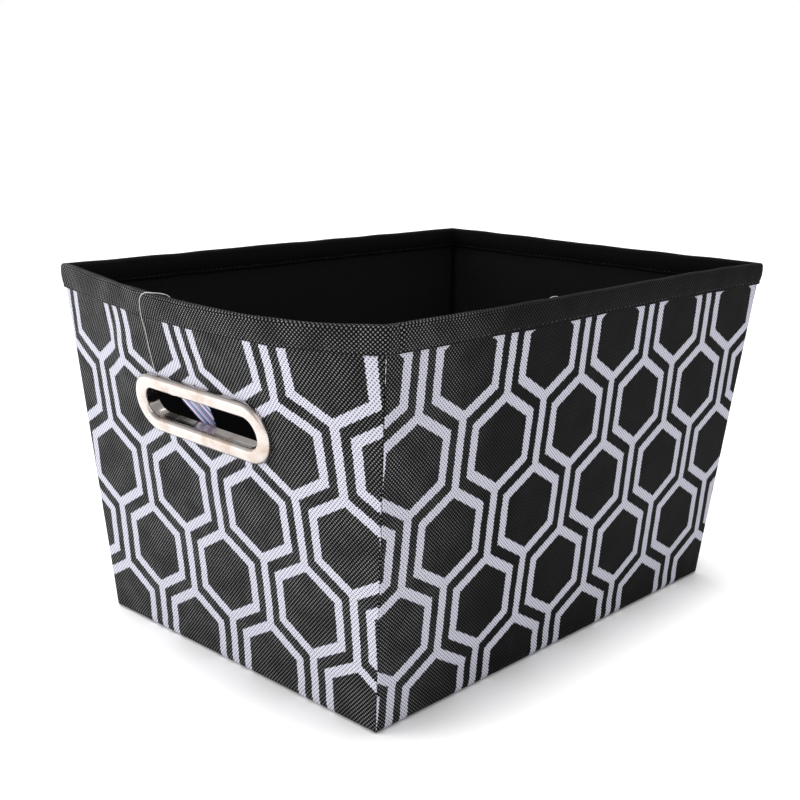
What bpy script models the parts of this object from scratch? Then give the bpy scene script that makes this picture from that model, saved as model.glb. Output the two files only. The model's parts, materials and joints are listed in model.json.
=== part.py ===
"""Tapered fabric storage bin: printed cover on board walls, black lining, bound rim,
two metal grommet handles, a lift-out base board and a striped hang tag on a thread.

The long side runs along X and the handles are in the short walls, at -X and +X.
The origin is the centre of the underside. Lengths are in metres.
"""

import functools
import math

import bmesh
import bpy
from mathutils import Matrix, Vector

# Outside of the bin
RIM_LENGTH = 0.364
RIM_WIDTH = 0.275
BASE_LENGTH = 0.326
BASE_WIDTH = 0.234
HEIGHT = 0.221
BASE_CORNER = 0.003

# Thicknesses of the sheets in a wall, from the outside in, and the gap between any two
COVER = 0.0006
BOARD = 0.002
LINING = 0.0005
GAP = 0.0003

# How far each wall's rim leaves a straight line, outwards
LEFT_BOW = 0.026
LEFT_BOW_PEAK = 0.62
LEFT_BOW_START_POWER = 1.06
LEFT_BOW_END_POWER = 2.8
FRONT_WAVE = 0.002
RIGHT_DISH = 0.002
# A wall curls out mostly near its rim, and the rim sinks a little where it does.
CURL = 2.4
SINK = 0.5
# Share of a wall's run, each way, that its direction at a point is taken over
DIRECTION_STEP = 0.004

# Binding folded over the rim
BINDING = 0.0006
BINDING_DROP = 0.0135
BINDING_EASE = 0.0004
RIM_ROOM = 0.0012

# Oval grommet handle in each short wall, and how far each is from the wall's middle
GRIP_LENGTH = 0.099
GRIP_HEIGHT = 0.0175
GRIP_DROP = 0.066
GRIP_SHIFT = {"left": 0.004, "right": 0.0}
BEZEL_BAND = 0.0093
BEZEL_RISE = 0.0038
BEZEL_EDGE = 0.00093
BARREL = 0.001
BARREL_CLEARANCE = 0.0004
RING = 0.0012
RING_MARGIN = 0.0015
LIP_REACH = 0.0012
LIP = 0.0007
FLAT_MARGIN = 0.004
FLAT_FADE = 0.024

# Lift-out base board in its fabric cover
INSERT_BOARD = 0.002
INSERT_FABRIC = 0.0005
INSERT_CLEARANCE = 0.0015
INSERT_HEM = 0.015

# Sewing thread
THREAD = 0.0005

# Hang tag inside the left wall: a slanted card, on the axes of the left handle
TAG_CARD = 0.0004
TAG_BEHIND = 0.0043
TAG_CORNER = (0.0006, -0.0208)
TAG_LENGTH = 0.036
TAG_WIDTH = 0.026
TAG_LENGTH_ANGLE = math.radians(144)
TAG_WIDTH_ANGLE = math.radians(100.5)
TAG_HOLE = 0.0015
TAG_HOLE_INSET = 0.004

# The tag's thread, from the cover above the left handle, over the rim, to the tag
TAG_THREAD = 0.0008
TAG_THREAD_STEP = 0.002
TAG_THREAD_ROUTE = (
    (-0.1905, 0.0309, 0.1736),
    (-0.1938, 0.0311, 0.1868),
    (-0.1968, 0.0297, 0.1967),
    (-0.1998, 0.0286, 0.2047),
    (-0.2019, 0.0268, 0.2106),
    (-0.2045, 0.0231, 0.2166),
    (-0.2054, 0.0176, 0.2202),
    (-0.2040, 0.0122, 0.2207),
    (-0.2020, 0.0079, 0.2207),
    (-0.1993, 0.0045, 0.2194),
    (-0.1977, 0.0023, 0.2153),
    (-0.1961, 0.0012, 0.2094),
    (-0.1945, 0.0018, 0.2034),
    (-0.1928, 0.0035, 0.1955),
    (-0.1884, 0.0119, 0.1872),
    (-0.1846, 0.0179, 0.1778),
    (-0.1822, 0.0218, 0.1722),
    (-0.1812, 0.0234, 0.1685),
)

COVER_AT = 0.0
BOARD_AT = COVER_AT + COVER + GAP
LINING_AT = BOARD_AT + BOARD + GAP
STACK = LINING_AT + LINING
SLOT_CUTTER_DEPTH = 8 * STACK
STANDOFF = GAP + BINDING
BINDING_INSIDE = STACK + 2 * GAP + BINDING
FLOOR = COVER + GAP + LINING + GAP

# Each wall runs anticlockwise from its first corner to the next, seen from above.
CORNERS = ((-1, -1), (1, -1), (1, 1), (-1, 1))
WALLS = ("front", "right", "back", "left")
OUTWARD = {"front": (0, -1), "right": (1, 0), "back": (0, 1), "left": (-1, 0)}
HANDLED = ("left", "right")
# Cells of a wall's grid, along it and up it. A short wall has three stretches each way:
# before its handle's flat spot, over it and past it.
COLUMNS = {"front": (10,), "right": (4, 2, 4), "back": (4,), "left": (7, 2, 9)}
ROWS = {"front": (4,), "right": (4, 1, 3), "back": (4,), "left": (8, 2, 4)}

# Facets of the round shapes
DOME_STEPS = 7
OVAL_END_STEPS = 12
SLOT_END_STEPS = 10
TAG_HOLE_SIDES = 12
SEAM_THREAD_STEPS = 6
ROUTE_PIECES = 12
SHARP_ANGLE = math.radians(35)
# A corner radius of just under half a width leaves a sliver of straight side.
NEARLY_HALF = 0.499
SAME_POINT = 0.00001

COLOURS = {
    "cover": ((0.030, 0.030, 0.032), 0.75, 0.0),
    "board": ((0.360, 0.290, 0.210), 0.85, 0.0),
    "lining": ((0.012, 0.012, 0.014), 0.85, 0.0),
    "binding": ((0.020, 0.020, 0.022), 0.70, 0.0),
    "metal": ((0.780, 0.740, 0.710), 0.22, 1.0),
    "thread": ((0.020, 0.020, 0.022), 0.60, 0.0),
    "tag": ((0.700, 0.720, 0.850), 0.35, 0.0),
    "nylon": ((0.850, 0.840, 0.820), 0.30, 0.0),
}


def clear_scene():
    for item in list(bpy.data.objects):
        bpy.data.objects.remove(item, do_unlink=True)


def new_collection(name):
    collection = bpy.data.collections.new(name)
    bpy.context.scene.collection.children.link(collection)
    return collection


def new_material(name):
    colour, roughness, metallic = COLOURS[name]
    material = bpy.data.materials.new(name)
    material.use_nodes = True
    shader = material.node_tree.nodes["Principled BSDF"]
    shader.inputs["Base Color"].default_value = (*colour, 1.0)
    shader.inputs["Roughness"].default_value = roughness
    shader.inputs["Metallic"].default_value = metallic
    material.diffuse_color = (*colour, 1.0)
    return material


def add_object(name, mesh, material, collection):
    item = bpy.data.objects.new(name, mesh)
    collection.objects.link(item)
    if material:
        mesh.materials.append(material)
    return item


def mesh_from(bm, name):
    mesh = bpy.data.meshes.new(name)
    bm.to_mesh(mesh)
    bm.free()
    return mesh


# Shape of the walls

def smoothstep(value):
    value = clamp(value, 0.0, 1.0)
    return value * value * (3.0 - 2.0 * value)


def bulge(wall, along):
    """How far the rim stands out of the straight line between its corners."""
    if wall == "left":
        if along < LEFT_BOW_PEAK:
            return LEFT_BOW * math.sin(math.pi / 2 * along / LEFT_BOW_PEAK) ** LEFT_BOW_START_POWER
        past_peak = (along - LEFT_BOW_PEAK) / (1.0 - LEFT_BOW_PEAK)
        return LEFT_BOW * (1.0 - min(past_peak, 1.0) ** LEFT_BOW_END_POWER)
    if wall == "front":
        return FRONT_WAVE * math.sin(2 * math.pi * along)
    if wall == "right":
        return -RIGHT_DISH * math.sin(math.pi * along)
    return 0.0


def taper(wall):
    """How far the rim's straight line stands out past the base's edge."""
    rim, base = (RIM_LENGTH, BASE_LENGTH) if wall in HANDLED else (RIM_WIDTH, BASE_WIDTH)
    return rim / 2 - STANDOFF - base / 2


def corner_point(index, rise):
    sign_x, sign_y = CORNERS[index % 4]
    half_x = BASE_LENGTH / 2 + taper("left") * rise
    half_y = BASE_WIDTH / 2 + taper("front") * rise
    return Vector((sign_x * half_x, sign_y * half_y, 0.0))


def plain_surface(wall, along, rise):
    """Point on the cover's outer face: along and rise go from 0 to 1 over the wall."""
    index = WALLS.index(wall)
    reach = bulge(wall, along)
    lean = taper(wall)
    sunk = SINK * max((lean + reach) ** 2 - lean**2, 0.0) / (2 * HEIGHT)
    point = corner_point(index, rise).lerp(corner_point(index + 1, rise), along)
    point += Vector((*OUTWARD[wall], 0.0)) * reach * max(rise, 0.0) ** CURL
    point.z = rise * (HEIGHT - sunk)
    return point


@functools.lru_cache(maxsize=None)
def handle_frame(wall):
    """Flat spot under a handle, as a matrix: X along the wall, Y up it, Z outwards."""
    middle, rise, half_along, half_rise = handle_span(wall)
    ends = [plain_surface(wall, middle + side * half_along, rise) for side in (-1, 1)]
    edges = [plain_surface(wall, middle, rise + side * half_rise) for side in (-1, 1)]
    centre = (ends[0] + ends[1] + edges[0] + edges[1]) / 4
    x_axis = (ends[1] - ends[0]).normalized()
    z_axis = x_axis.cross(edges[1] - edges[0]).normalized()
    y_axis = z_axis.cross(x_axis)
    rotation = Matrix((x_axis, y_axis, z_axis)).transposed().to_4x4()
    return Matrix.Translation(centre) @ rotation


def wall_run(wall, rise):
    index = WALLS.index(wall)
    return (corner_point(index + 1, rise) - corner_point(index, rise)).length


def surface(wall, along, rise):
    """plain_surface, flattened where a handle is clamped on."""
    point = plain_surface(wall, along, rise)
    if wall not in HANDLED:
        return point
    frame = handle_frame(wall)
    local = frame.inverted() @ point
    past_x = abs(local.x) - (GRIP_LENGTH / 2 + BEZEL_BAND + FLAT_MARGIN)
    past_y = abs(local.y) - (GRIP_HEIGHT / 2 + BEZEL_BAND + FLAT_MARGIN)
    past = math.hypot(max(past_x, 0.0), max(past_y, 0.0))
    normal = frame.col[2].to_3d()
    outward = Vector((*OUTWARD[wall], 0.0))
    flat = point - outward * (local.z / outward.dot(normal))
    return point.lerp(flat, 1.0 - smoothstep(past / FLAT_FADE))


def inward(wall, along, rise):
    behind = surface(wall, max(along - DIRECTION_STEP, 0.0), rise)
    ahead = surface(wall, min(along + DIRECTION_STEP, 1.0), rise)
    run = ahead - behind
    return Vector((-run.y, run.x, 0.0)).normalized()


def layer_point(wall, along, rise, depth):
    return surface(wall, along, rise) + inward(wall, along, rise) * depth


def handle_span(wall):
    """Middle and half sizes of a handle, as shares of its wall's run and height."""
    rise = 1.0 - GRIP_DROP / HEIGHT
    run = wall_run(wall, rise)
    middle = 0.5 + GRIP_SHIFT[wall] / run
    half_along = (GRIP_LENGTH / 2 + BEZEL_BAND) / run
    half_rise = (GRIP_HEIGHT / 2 + BEZEL_BAND) / HEIGHT
    return middle, rise, half_along, half_rise


def stations(stops, counts):
    """Even steps between stops, with this many cells in each stretch."""
    places = [stops[0]]
    for start, end, count in zip(stops, stops[1:], counts):
        places += [start + (end - start) * (step + 1) / count for step in range(count)]
    return places


@functools.lru_cache(maxsize=None)
def wall_grid(wall):
    """Columns and rows of points, which every sheet of a wall shares but for its edges."""
    if wall not in HANDLED:
        return stations((0.0, 1.0), COLUMNS[wall]), stations((0.0, 1.0), ROWS[wall])
    middle, rise, half_along, half_rise = handle_span(wall)
    half_along += FLAT_MARGIN / 2 / wall_run(wall, rise)
    half_rise += FLAT_MARGIN / 2 / HEIGHT
    across = (0.0, middle - half_along, middle + half_along, 1.0)
    upward = (0.0, rise - half_rise, rise + half_rise, 1.0)
    return stations(across, COLUMNS[wall]), stations(upward, ROWS[wall])


def clamp(value, low, high):
    return min(max(value, low), high)


# Sheets, plates and sweeps

def wall_sheet(name, wall, depth, thickness, low, room, material, collection):
    """One sheet of a wall, from height low to room under the rim, at a depth from the face."""
    columns, rows = wall_grid(wall)
    cells_along = len(columns) - 1
    cells_up = len(rows) - 1
    bm = bmesh.new()
    bmesh.ops.create_grid(bm, x_segments=cells_along, y_segments=cells_up, size=0.5)
    for vert in bm.verts:
        row = rows[round((vert.co.y + 0.5) * cells_up)]
        rise = clamp(row, low / HEIGHT, 1.0 - room / HEIGHT)
        trim = (depth + thickness + GAP) / wall_run(wall, rise)
        column = columns[round((vert.co.x + 0.5) * cells_along)]
        along = clamp(column, trim, 1.0 - trim)
        vert.co = layer_point(wall, along, rise, depth)
    item = add_object(name, mesh_from(bm, name), material, collection)
    solidify = item.modifiers.new("thickness", "SOLIDIFY")
    solidify.thickness = thickness
    solidify.offset = -1.0
    return item


def cut(item, cutter):
    boolean = item.modifiers.new("cut_" + cutter.name, "BOOLEAN")
    boolean.operation = "DIFFERENCE"
    boolean.solver = "EXACT"
    boolean.object = cutter


def block_mesh(name, size, corner=0.0, segments=4):
    """A box centred on its origin, with its four upright edges rounded."""
    bm = bmesh.new()
    bmesh.ops.create_cube(bm, size=1.0)
    bmesh.ops.scale(bm, vec=size, verts=bm.verts)
    if corner:
        upright = [edge for edge in bm.edges if is_upright(edge)]
        bmesh.ops.bevel(
            bm, geom=upright, offset=corner, segments=segments, profile=0.5, affect="EDGES"
        )
    return mesh_from(bm, name)


def is_upright(edge):
    run = edge.verts[1].co - edge.verts[0].co
    return abs(run.z) > max(abs(run.x), abs(run.y))


def hide_cutter(item):
    item.hide_render = True
    item.display_type = "WIRE"


def slab(name, length, width, low, thickness, corner, material, collection):
    """A level plate whose underside is at height low."""
    item = add_object(
        name, block_mesh(name, (length, width, thickness), corner), material, collection
    )
    item.location.z = low + thickness / 2
    return item


def oval_sweep(name, profile, length, height, material, collection):
    """Sweeps a closed profile of (out from the edge, up) points round an oval of this size."""
    radius = height / 2
    straight = length - height
    bm = bmesh.new()
    verts = [bm.verts.new((straight / 2 + radius + out, 0.0, up)) for out, up in profile]
    for first, second in zip(verts, verts[1:] + verts[:1]):
        bm.edges.new((first, second))
    loop = list(bm.edges)
    # Start at the foot of the right-hand end, and go round anticlockwise.
    bmesh.ops.rotate(
        bm,
        cent=(straight / 2, 0.0, 0.0),
        matrix=Matrix.Rotation(-math.pi / 2, 3, "Z"),
        verts=verts,
    )
    for side in (1, -1):
        turned = bmesh.ops.spin(
            bm,
            geom=loop,
            cent=(side * straight / 2, 0.0, 0.0),
            axis=(0.0, 0.0, 1.0),
            angle=math.pi,
            steps=OVAL_END_STEPS,
        )
        last = [part for part in turned["geom_last"] if isinstance(part, bmesh.types.BMEdge)]
        run = bmesh.ops.extrude_edge_only(bm, edges=last)
        moved = [part for part in run["geom"] if isinstance(part, bmesh.types.BMVert)]
        bmesh.ops.translate(bm, vec=(-side * straight, 0.0, 0.0), verts=moved)
        loop = [part for part in run["geom"] if isinstance(part, bmesh.types.BMEdge)]
    bmesh.ops.remove_doubles(bm, verts=bm.verts, dist=SAME_POINT)
    bmesh.ops.recalc_face_normals(bm, faces=bm.faces)
    item = add_object(name, mesh_from(bm, name), material, collection)
    item.data.shade_smooth()
    item.data.set_sharp_from_angle(angle=SHARP_ANGLE)
    return item


def rim_loop(depth, drop):
    """Closed run of points round the bin, at a depth from the cover's face, drop under the rim."""
    points = []
    rise = 1.0 - drop / HEIGHT
    for index, wall in enumerate(WALLS):
        previous = WALLS[index - 1]
        before = inward(previous, 1.0, rise)
        after = inward(wall, 0.0, rise)
        mitre = (before + after) / (1.0 + before.dot(after))
        points.append(surface(wall, 0.0, rise) + mitre * depth)
        trim = (BINDING_INSIDE + GAP) / wall_run(wall, rise)
        for column in wall_grid(wall)[0]:
            points.append(layer_point(wall, clamp(column, trim, 1.0 - trim), rise, depth))
    return points


def skin_loops(name, loops, material, collection):
    """A closed band through closed loops of points, the last loop joined to the first."""
    bm = bmesh.new()
    verts = [bm.verts.new(point) for point in loops[0]]
    edges = [bm.edges.new(pair) for pair in zip(verts, verts[1:] + verts[:1])]
    first_edges = list(edges)
    for loop in loops[1:]:
        made = bmesh.ops.extrude_edge_only(bm, edges=edges)["geom"]
        edges = [part for part in made if isinstance(part, bmesh.types.BMEdge)]
        steps = {}
        for edge in edges:
            for vert in edge.verts:
                below = next(e.other_vert(vert) for e in vert.link_edges if e not in edges)
                steps[vert] = verts.index(below)
        verts = sorted(steps, key=steps.get)
        for vert, point in zip(verts, loop):
            vert.co = point
    bmesh.ops.bridge_loops(bm, edges=edges + first_edges)
    bmesh.ops.recalc_face_normals(bm, faces=bm.faces)
    return add_object(name, mesh_from(bm, name), material, collection)


def tube(name, points, diameter, material, collection, closed=False):
    curve = bpy.data.curves.new(name, "CURVE")
    curve.dimensions = "3D"
    curve.bevel_depth = diameter / 2
    curve.bevel_resolution = 2
    curve.use_fill_caps = not closed
    spline = curve.splines.new("POLY")
    spline.points.add(len(points) - 1)
    for place, point in zip(spline.points, points):
        place.co = (*point, 1.0)
    spline.use_cyclic_u = closed
    item = bpy.data.objects.new(name, curve)
    curve.materials.append(material)
    collection.objects.link(item)
    return item


# The pieces

def make_walls(paint, parts, cutters):
    for wall in WALLS:
        sheets = (
            wall_sheet(f"cover_{wall}", wall, COVER_AT, COVER, COVER + GAP,
                       BINDING + BINDING_EASE, paint["cover"], parts),
            wall_sheet(f"board_{wall}", wall, BOARD_AT, BOARD, COVER + GAP,
                       BINDING + RIM_ROOM, paint["board"], parts),
            wall_sheet(f"lining_{wall}", wall, LINING_AT, LINING, FLOOR,
                       BINDING + RIM_ROOM, paint["lining"], parts),
        )
        if wall in HANDLED:
            slot = make_slot_cutter(wall, cutters)
            for sheet in sheets:
                cut(sheet, slot)


def make_slot_cutter(wall, cutters):
    margin = 2 * (BARREL + BARREL_CLEARANCE)
    height = GRIP_HEIGHT + margin
    size = (GRIP_LENGTH + margin, height, SLOT_CUTTER_DEPTH)
    name = f"slot_{wall}"
    mesh = block_mesh(name, size, corner=height * NEARLY_HALF, segments=SLOT_END_STEPS)
    slot = add_object(name, mesh, None, cutters)
    slot.matrix_world = handle_frame(wall)
    hide_cutter(slot)
    return slot


def make_base(paint, parts):
    slab("cover_base", BASE_LENGTH, BASE_WIDTH, 0.0, COVER, BASE_CORNER, paint["cover"], parts)
    inset = 2 * LINING_AT
    slab("lining_base", BASE_LENGTH - inset, BASE_WIDTH - inset, COVER + GAP, LINING,
         BASE_CORNER, paint["lining"], parts)


def make_insert(paint, parts, cutters):
    """Base board in a cover that is folded round its edges and turned under as a hem."""
    inset = 2 * (STACK + INSERT_CLEARANCE)
    length = BASE_LENGTH - inset
    width = BASE_WIDTH - inset
    wrap = 2 * (INSERT_FABRIC + GAP)
    height = INSERT_BOARD + wrap
    joint = bpy.data.objects.new("insert_lift", None)
    parts.objects.link(joint)
    joint.location.z = FLOOR
    cover = slab("insert_cover", length, width, 0.0, height, BASE_CORNER,
                 paint["lining"], parts)
    board = slab("insert_board", length - wrap, width - wrap, INSERT_FABRIC + GAP,
                 INSERT_BOARD, BASE_CORNER, paint["board"], parts)
    room = slab("insert_room", length - wrap + 2 * GAP, width - wrap + 2 * GAP, INSERT_FABRIC,
                INSERT_BOARD + 2 * GAP, BASE_CORNER + GAP, None, cutters)
    window = slab("insert_window", length - 2 * INSERT_HEM, width - 2 * INSERT_HEM,
                  -INSERT_FABRIC, 3 * INSERT_FABRIC, BASE_CORNER, None, cutters)
    for cutter in (room, window):
        hide_cutter(cutter)
        cut(cover, cutter)
    for item in (cover, board, room, window):
        item.parent = joint


def make_binding(paint, parts):
    outside = -STANDOFF
    inside = BINDING_INSIDE
    profile = (
        (outside, BINDING_DROP),
        (outside, BINDING),
        (outside + BINDING, 0.0),
        (inside - BINDING, 0.0),
        (inside, BINDING),
        (inside, BINDING_DROP),
        (inside - BINDING, BINDING_DROP),
        (inside - BINDING, BINDING),
        (outside + BINDING, BINDING),
        (outside + BINDING, BINDING_DROP),
    )
    loops = [rim_loop(depth, drop) for depth, drop in profile]
    skin_loops("rim_binding", loops, paint["binding"], parts)
    stitch_depth = outside - GAP - THREAD / 2
    stitch_drop = BINDING_DROP - 3 * THREAD
    tube("rim_thread", rim_loop(stitch_depth, stitch_drop), THREAD, paint["thread"], parts,
         closed=True)


def make_corner_threads(paint, parts):
    """Thread of each upright seam, in the corner between two cover panels."""
    names = ("front_left", "front_right", "back_right", "back_left")
    low = (COVER + 2 * GAP + THREAD) / HEIGHT
    high = 1.0 - (BINDING_DROP + GAP) / HEIGHT
    for index, name in enumerate(names):
        inset = Vector((CORNERS[index][0], CORNERS[index][1], 0.0)) * (GAP + THREAD / 2)
        points = []
        for step in range(SEAM_THREAD_STEPS + 1):
            rise = low + (high - low) * step / SEAM_THREAD_STEPS
            points.append(surface(WALLS[index], 0.0, rise) - inset)
        tube(f"seam_thread_{name}", points, THREAD, paint["thread"], parts)


def bezel_profile():
    """Half-round face, thin barrel through the wall, and the lip that is rolled over behind."""
    foot = GAP
    back = -(STACK + GAP + RING + GAP)
    dome = []
    for step in range(DOME_STEPS + 1):
        angle = math.pi * step / DOME_STEPS
        out = BEZEL_BAND / 2 * (1.0 - math.cos(angle))
        up = foot + BEZEL_EDGE + (BEZEL_RISE - BEZEL_EDGE) * math.sin(angle)
        dome.append((out, up))
    return dome + [
        (BEZEL_BAND, foot),
        (BARREL, foot),
        (BARREL, back),
        (BARREL + LIP_REACH, back),
        (BARREL + LIP_REACH, back - LIP),
        (0.0, back - LIP),
    ]


def ring_profile():
    inner = BARREL + GAP
    outer = BEZEL_BAND - RING_MARGIN
    front = -(STACK + GAP)
    return [
        (inner, front - RING),
        (outer - RING / 2, front - RING),
        (outer, front - RING / 2),
        (outer, front),
        (inner, front),
    ]


def make_handles(paint, parts):
    for wall in HANDLED:
        frame = handle_frame(wall)
        pieces = (("handle_bezel", bezel_profile()), ("handle_ring", ring_profile()))
        for name, profile in pieces:
            item = oval_sweep(f"{name}_{wall}", profile, GRIP_LENGTH, GRIP_HEIGHT,
                              paint["metal"], parts)
            item.matrix_world = frame


def make_tag(paint, parts):
    def along(angle, reach):
        return Vector((math.cos(angle) * reach, math.sin(angle) * reach))

    corner = Vector(TAG_CORNER)
    length = along(TAG_LENGTH_ANGLE, TAG_LENGTH)
    width = along(TAG_WIDTH_ANGLE, TAG_WIDTH)
    outline = (corner, corner + width, corner + width + length, corner + length)
    hole = corner + width / 2 + along(TAG_LENGTH_ANGLE, TAG_LENGTH - TAG_HOLE_INSET)
    turns = [2 * math.pi * step / TAG_HOLE_SIDES for step in range(TAG_HOLE_SIDES)]
    curve = bpy.data.curves.new("hang_tag", "CURVE")
    curve.dimensions = "2D"
    curve.fill_mode = "BOTH"
    curve.extrude = TAG_CARD / 2
    curve.materials.append(paint["tag"])
    for loop in (outline, [hole + along(turn, TAG_HOLE) for turn in turns]):
        spline = curve.splines.new("POLY")
        spline.points.add(len(loop) - 1)
        for place, point in zip(spline.points, loop):
            place.co = (point.x, point.y, 0.0, 1.0)
        spline.use_cyclic_u = True
    tag = bpy.data.objects.new("hang_tag", curve)
    parts.objects.link(tag)
    tag.matrix_world = handle_frame("left") @ Matrix.Translation((0, 0, -STACK - TAG_BEHIND))
    tube("tag_thread", smooth_route(TAG_THREAD_ROUTE, TAG_THREAD_STEP), TAG_THREAD,
         paint["nylon"], parts)


def smooth_route(route, step):
    """Points at even steps along a smooth curve through the route's points."""
    points = [Vector(point) for point in route]
    ends = [2 * points[0] - points[1]] + points + [2 * points[-1] - points[-2]]
    fine = []
    for before, start, end, after in zip(ends, ends[1:], ends[2:], ends[3:]):
        for piece in range(ROUTE_PIECES):
            share = piece / ROUTE_PIECES
            into = (end - before) / 2
            out_of = (after - start) / 2
            fine.append(
                start * (2 * share**3 - 3 * share**2 + 1)
                + into * (share**3 - 2 * share**2 + share)
                + end * (3 * share**2 - 2 * share**3)
                + out_of * (share**3 - share**2)
            )
    fine.append(points[-1])
    length = sum((b - a).length for a, b in zip(fine, fine[1:]))
    count = round(length / step)
    even = [fine[0]]
    walked = 0.0
    for first, second in zip(fine, fine[1:]):
        run = (second - first).length
        while len(even) < count and walked + run >= len(even) * length / count:
            share = (len(even) * length / count - walked) / run
            even.append(first.lerp(second, share))
        walked += run
    even.append(fine[-1])
    return even


def main():
    clear_scene()
    parts = new_collection("fabric_storage_bin")
    cutters = new_collection("cutters")
    paint = {name: new_material(name) for name in COLOURS}
    make_walls(paint, parts, cutters)
    make_base(paint, parts)
    make_insert(paint, parts, cutters)
    make_binding(paint, parts)
    make_corner_threads(paint, parts)
    make_handles(paint, parts)
    make_tag(paint, parts)


main()
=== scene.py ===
"""Fabric storage bin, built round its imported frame.

Printed cover panels over boards, a black lining, a bound and stitched rim, two oval
metal grommet handles, a lift-out base board and a striped tag on a thread.
Lengths are in metres, +Z is up, and the origin is the centre of the underside.
"""

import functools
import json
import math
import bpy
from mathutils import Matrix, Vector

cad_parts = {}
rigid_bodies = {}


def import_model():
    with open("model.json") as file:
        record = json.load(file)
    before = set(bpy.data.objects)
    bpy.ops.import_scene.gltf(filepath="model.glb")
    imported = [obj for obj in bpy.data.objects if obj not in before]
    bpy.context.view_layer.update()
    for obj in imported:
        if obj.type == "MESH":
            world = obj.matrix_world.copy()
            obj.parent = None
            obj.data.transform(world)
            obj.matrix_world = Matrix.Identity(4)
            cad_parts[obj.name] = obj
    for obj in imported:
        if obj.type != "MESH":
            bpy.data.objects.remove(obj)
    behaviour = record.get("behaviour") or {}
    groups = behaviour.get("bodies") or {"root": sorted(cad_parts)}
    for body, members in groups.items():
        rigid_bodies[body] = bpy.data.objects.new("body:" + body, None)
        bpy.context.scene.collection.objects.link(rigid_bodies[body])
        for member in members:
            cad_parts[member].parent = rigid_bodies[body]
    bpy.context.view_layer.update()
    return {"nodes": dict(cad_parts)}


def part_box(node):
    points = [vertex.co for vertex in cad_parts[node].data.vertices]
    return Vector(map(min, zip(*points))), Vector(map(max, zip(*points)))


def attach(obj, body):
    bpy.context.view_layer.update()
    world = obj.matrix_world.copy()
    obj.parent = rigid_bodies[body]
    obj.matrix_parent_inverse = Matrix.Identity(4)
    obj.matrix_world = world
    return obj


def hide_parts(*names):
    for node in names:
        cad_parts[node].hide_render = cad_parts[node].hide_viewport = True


bl_info = {
    "name": "Fabric Storage Bin",
    "version": (1, 0, 0),
    "blender": (4, 5, 0),
    "location": "3D View > Sidebar > Storage Bin",
    "description": "Builds a printed fabric bin with a bound rim and metal grommet handles",
    "category": "Add Mesh",
}

import bpy
import numpy as np
from mathutils import Matrix, Vector

for leftover in list(bpy.data.objects):
    bpy.data.objects.remove(leftover, do_unlink=True)

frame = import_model()
BASE_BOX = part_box("cover_base")
RIM_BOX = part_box("rim_binding")

# Outside of the bin
BASE_LENGTH = BASE_BOX[1].x - BASE_BOX[0].x
BASE_WIDTH = BASE_BOX[1].y - BASE_BOX[0].y
RIM_LENGTH = 2 * RIM_BOX[1].x
RIM_WIDTH = 2 * RIM_BOX[1].y
HEIGHT = RIM_BOX[1].z

# Sheets in a wall, from the outside in
COVER = 0.0006
BOARD = 0.002
LINING = 0.0005
GAP = 0.0003
LINING_AT = COVER + GAP + BOARD + GAP
STACK = LINING_AT + LINING
FLOOR = COVER + GAP + LINING + GAP

# How far each wall's rim leaves a straight line, outwards, and how it curls there
LEFT_BOW = 0.026
LEFT_BOW_PEAK = 0.62
BOW_START = 1.06
BOW_END = 2.8
FRONT_WAVE = 0.002
RIGHT_DISH = 0.002
CURL = 2.4
SINK = 0.5

# Binding folded over the rim
BINDING = 0.0006
BINDING_DROP = 0.0135
STANDOFF = GAP + BINDING
BINDING_INSIDE = STACK + 2 * GAP + BINDING
STITCH_DROP = 0.012

# Oval grommet handle in each short wall
GRIP_LENGTH = 0.099
GRIP_HEIGHT = 0.0175
GRIP_DROP = 0.066
GRIP_SHIFT = {"left": 0.004, "right": 0.0}
BEZEL_BAND = 0.0093
BEZEL_RISE = 0.0038
BARREL = 0.001
RING = 0.0012
RING_MARGIN = 0.0015
LIP_REACH = 0.0012
LIP = 0.0007
FLAT_MARGIN = 0.004
FLAT_FADE = 0.024
SLOT_ROOM = 0.0014

# Hang tag, on the axes of the left handle
TAG_CARD = 0.0004
TAG_BEHIND = 0.0043
TAG_CORNER = (0.0006, -0.0208)
TAG_LENGTH = 0.036
TAG_WIDTH = 0.026
TAG_LENGTH_ANGLE = math.radians(144)
TAG_WIDTH_ANGLE = math.radians(100.5)
TAG_HOLE = 0.0015
TAG_HOLE_INSET = 0.004
TAG_THREAD = 0.0005
TAG_THREAD_ROUTE = (
    (-0.1905, 0.0309, 0.1736),
    (-0.1938, 0.0311, 0.1868),
    (-0.1968, 0.0297, 0.1967),
    (-0.1998, 0.0286, 0.2047),
    (-0.2019, 0.0268, 0.2106),
    (-0.2045, 0.0231, 0.2166),
    (-0.2054, 0.0176, 0.2202),
    (-0.2040, 0.0122, 0.2207),
    (-0.2020, 0.0079, 0.2207),
    (-0.1993, 0.0045, 0.2194),
    (-0.1977, 0.0023, 0.2153),
    (-0.1961, 0.0012, 0.2094),
    (-0.1945, 0.0018, 0.2034),
    (-0.1928, 0.0035, 0.1955),
    (-0.1884, 0.0119, 0.1872),
    (-0.1846, 0.0179, 0.1778),
    (-0.1822, 0.0218, 0.1722),
    (-0.1812, 0.0234, 0.1685),
)

# Stitches: radius of the thread and gap to the next one
RIM_STITCH = 0.00036
RIM_STITCH_GAP = 0.0009
INSIDE_STITCH = 0.00028
INSIDE_STITCH_GAP = 0.0007
SEAM_STITCH = 0.00022
SEAM_STITCH_GAP = 0.0008
TACK_STITCH = 0.00020
TACK_STITCH_GAP = 0.0005
TACK_LENGTH = 0.014
SEAM_FOOT = 0.004

# The binding strip's lap and the loose thread end on the front rim, as shares along it
LAP_REACH = 0.011
LOOSE_END = (0.355, 0.375)
LOOSE_END_POINTS = 9
LOOSE_END_THREAD = 0.0004

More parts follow.
